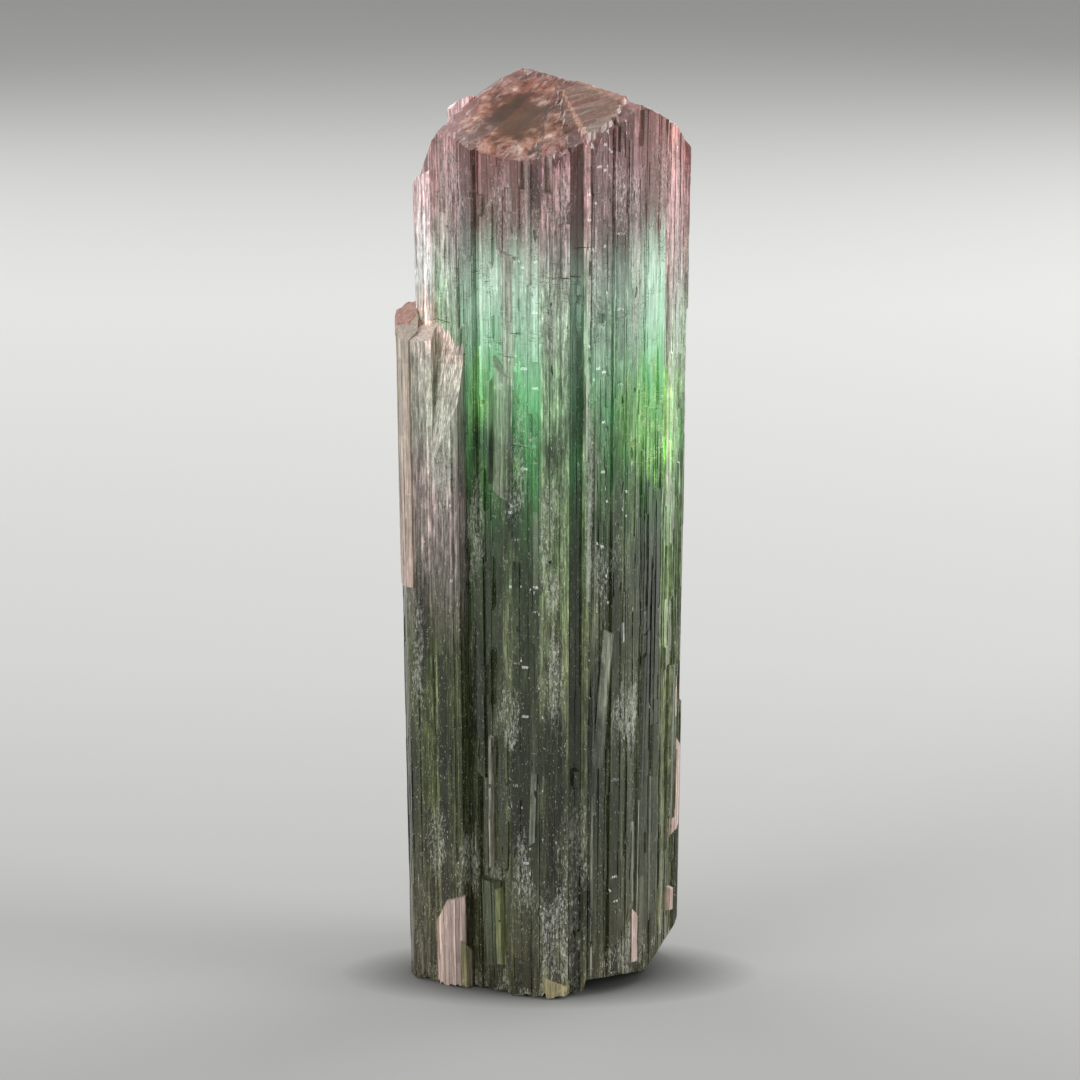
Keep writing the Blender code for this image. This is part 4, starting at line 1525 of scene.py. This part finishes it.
def zoned_color(tree, known):
    """The colour by height and column, with cracks, painted glows of light passing through, side crystals,
    the tip and the coats.
    """
    skin = zone_color(known.warped, SKIN_ZONES)
    color = mix_color(tree, known.clear, skin, zone_color(known.warped, WINDOW_ZONES))
    line = (known.crack - CRACK_LEVEL).maths("ABSOLUTE")
    line = spread(line, *CRACK_WIDTH, 1.0, 0.0) * spread(known.mottle, *CRACK_PLACES)
    dark = line * spread(known.height, *DARK_CRACK_HEIGHTS) * DARK_CRACK_SHARE
    color = mix_color(tree, dark, color, CRACK_GREEN)
    # Painted light: lime glow in the glow ovals, brighter on the crack lines
    lit = known.glow * spread(known.streak, *GLOW_STREAKS)
    color = mix_color(tree, lit, color, PAINTED_GLOW_LIME)
    color = mix_color(tree, line * known.glow, color, PAINTED_GLOW_BRIGHT_LIME)
    color = mix_color(tree, known.is_side, color, zone_color(known.warped, SIDE_ZONES))
    color = mix_color(tree, known.is_tip, color, tip_color(tree, known, skin))
    return mix_color(tree, known.cover, color, known.coat)


def light_stops(tree, known):
    """How many stops lighter each place is: by strip, fine lines, weave, column and shade.

    Sloping ends, coats and glassy windows are more even, and the columns differ less at the foot.
    """
    level = mesh_value(tree, "level_face") * LEVEL_EVENNESS
    glassy = known.clear * spread(known.height, *GLASSY_HEIGHTS)
    even = greatest(level, known.cover * COAT_EVENNESS, glassy * GLASSY_EVENNESS)
    stops = known.tone * TONE_STOPS + spread(known.fine, *FINE_STOPS)
    stops = stops * (1.0 - even) * spread(known.height, *FOOT_CONTRAST)
    calm = mix_value(tree, greatest(known.bare, level, glassy), 1.0, CALM_WEAVE)
    stops = stops + spread(known.weave, *WEAVE_STOPS) * calm
    stops = stops + known.lightness * spread(known.height, *COLUMN_CONTRAST)
    return stops + known.shade * SHADE_STOPS


def frost_share(tree, known):
    """How much white frost covers each place, with painted reflection lines on the lightest strips."""
    crust = (known.patches - 0.5) * FROST_PATCHES + known.crust + known.frosted * FROST_SPOTS
    # Painted reflection lines on the lightest strips
    lines = spread(known.tone, *LINE_TONES) * spread(known.streak, *LINE_STREAKS) * LINE_FROST_AND_SHEEN
    return greatest(spread(crust, *FROST_EDGE), lines) * mix_value(tree, known.bare, *FROST_COVER)


def frosted_color(tree, known, color, frost_and_sheen):
    """Frost and painted reflection lines over a colour, pink towards the tip, with bright specks that are
    partly frost grains and partly painted glints.
    """
    pinkness = spread(known.warped, *PINK_FROST_HEIGHTS)
    color = mix_color(tree, frost_and_sheen, color, mix_color(tree, pinkness, FROST_AND_SHEEN, PINK_FROST_AND_SHEEN))
    # Bright specks: partly frost grains, partly painted glints
    speck = spread(known.frosted * SPECK_SPOTS + known.grit, *SPECK_EDGE)
    return mix_color(tree, speck * mix_value(tree, known.bare, *SPECK_COVER), color, SPECK)


def passing_light(tree, known, frost_and_sheen):
    """The share of light that passes into the crystal."""
    passing = mix_value(tree, known.clear, *COLUMN_PASSING)
    for share, other in ((known.is_side, SIDE_PASSING), (known.is_tip, TIP_PASSING), (frost_and_sheen, FROST_PASSING)):
        passing = mix_value(tree, share, passing, other)
    return passing * (known.cover * -0.5 + 1.0)


def new_material(name):
    material = bpy.data.materials.new(name)
    material.use_nodes = True
    return material, material.node_tree


def make_tourmaline():
    """The see-through mineral, coloured by height, column and finish."""
    material, tree = new_material("zoned_tourmaline")
    known = crystal_signals(tree)
    color = shaded(tree, zoned_color(tree, known), light_stops(tree, known))
    frost_and_sheen = frost_share(tree, known)
    bump = {"Height": known.fine, "Strength": BUMP_STRENGTH, "Distance": BUMP_HEIGHT * MM}
    looks = {
        "Base Color": frosted_color(tree, known, color, frost_and_sheen),
        "Roughness": spread(frost_and_sheen, *FROST_ROUGHNESS) + known.bare * BARE_ROUGHNESS,
        "Transmission Weight": passing_light(tree, known, frost_and_sheen),
        "Normal": signal(tree, "ShaderNodeBump", bump),
        "IOR": CRYSTAL_IOR,
    }
    fill_inputs(tree, tree.nodes["Principled BSDF"], looks)
    inside = {"Color": ABSORPTION_COLOR, "Density": ABSORPTION_DENSITY}
    volume = signal(tree, "ShaderNodeVolumeAbsorption", inside)
    fill_inputs(tree, tree.nodes["Material Output"], {"Volume": volume})
    return material


# The studio

def make_floor():
    """A pale floor with painted light: a pool of light behind the crystal, darker in front and far off,
    and a soft painted shadow where the crystal stands.
    """
    made = add_object("studio_floor")
    half = FLOOR_HALF
    corners = [(-half, -half, 0.0), (half, -half, 0.0), (half, half, 0.0), (-half, half, 0.0)]
    made.data.from_pydata(corners, [], [(0, 1, 2, 3)])
    material, tree = new_material("pale_floor")
    place = signal(tree, "ShaderNodeTexCoord", output="Object")
    deep = split_vector(tree, place)[1]
    # Painted light: the pool of light behind the crystal, darker in front and far off
    sweep = FLOOR_FAR - FLOOR_NEAR
    stops = [((distance - FLOOR_NEAR) / sweep, color) for distance, color in FLOOR_PAINTED_LIGHT]
    color = color_ramp(spread(deep, FLOOR_NEAR, FLOOR_FAR), stops)
    # Painted shadow: a dark oval under the crystal
    offset = vector_maths(tree, "SUBTRACT", place, Vector(SHADE_MIDDLE) * MM)
    offset = vector_maths(tree, "DIVIDE", offset, Vector(SHADE_REACH) * MM)
    reach = signal(tree, "ShaderNodeVectorMath", {0: offset}, "Value", operation="LENGTH")
    looks = {
        "Base Color": mix_color(tree, spread(reach, *SHADE_EDGE, SHADE_DEPTH, 0.0), color, SHADE_COLOR),
        "Roughness": 0.9,
        "Specular IOR Level": 0.1,
    }
    fill_inputs(tree, tree.nodes["Principled BSDF"], looks)
    made.data.materials.append(material)
    return made


def add_light(name, place, width, height, power):
    """A soft panel that faces the crystal and that the camera doesn't see."""
    lamp = bpy.data.lights.new(name, "AREA")
    lamp.shape = "RECTANGLE"
    lamp.size = width
    lamp.size_y = height
    lamp.energy = power
    made = add_object(name, lamp)
    made.location = place
    made.rotation_euler = (Vector(LIGHT_TARGET) - Vector(place)).to_track_quat("-Z", "Y").to_euler()
    made.visible_camera = False


def make_world():
    world = bpy.data.worlds.new("studio_air")
    bpy.context.scene.world = world
    world.use_nodes = True
    air = {"Color": AIR_COLOR, "Strength": AIR_STRENGTH}
    fill_inputs(world.node_tree, world.node_tree.nodes["Background"], air)


def make_camera():
    lift = math.radians(CAMERA_ELEVATION)
    back = Vector((0.0, -math.cos(lift), math.sin(lift)))
    lens = bpy.data.cameras.new("studio_camera")
    lens.lens = CAMERA_LENS
    lens.sensor_width = 36.0
    lens.clip_start = 0.05
    lens.clip_end = 20.0
    made = add_object("studio_camera", lens)
    made.location = (CAMERA_TARGET + back * CAMERA_DISTANCE) * MM
    made.rotation_euler = (-back).to_track_quat("-Z", "Y").to_euler()
    bpy.context.scene.camera = made


for finish_name in (*ZONED_FINISHES, *COATS):
    bpy.data.materials.new(finish_name)
noise.seed_set(FACET_SEED)
STRIA_TREE = make_stria_tree()
STREWING_TREE = make_strewing_tree()
crystal = make_crystal_mesh()
mark_finishes(crystal.data, make_tourmaline())
floor = make_floor()
for light in LIGHTS:
    add_light(*light)
make_world()
make_camera()
bpy.context.scene.view_settings.view_transform = "Standard"

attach(crystal, "root")
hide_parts("tourmaline_crystal")
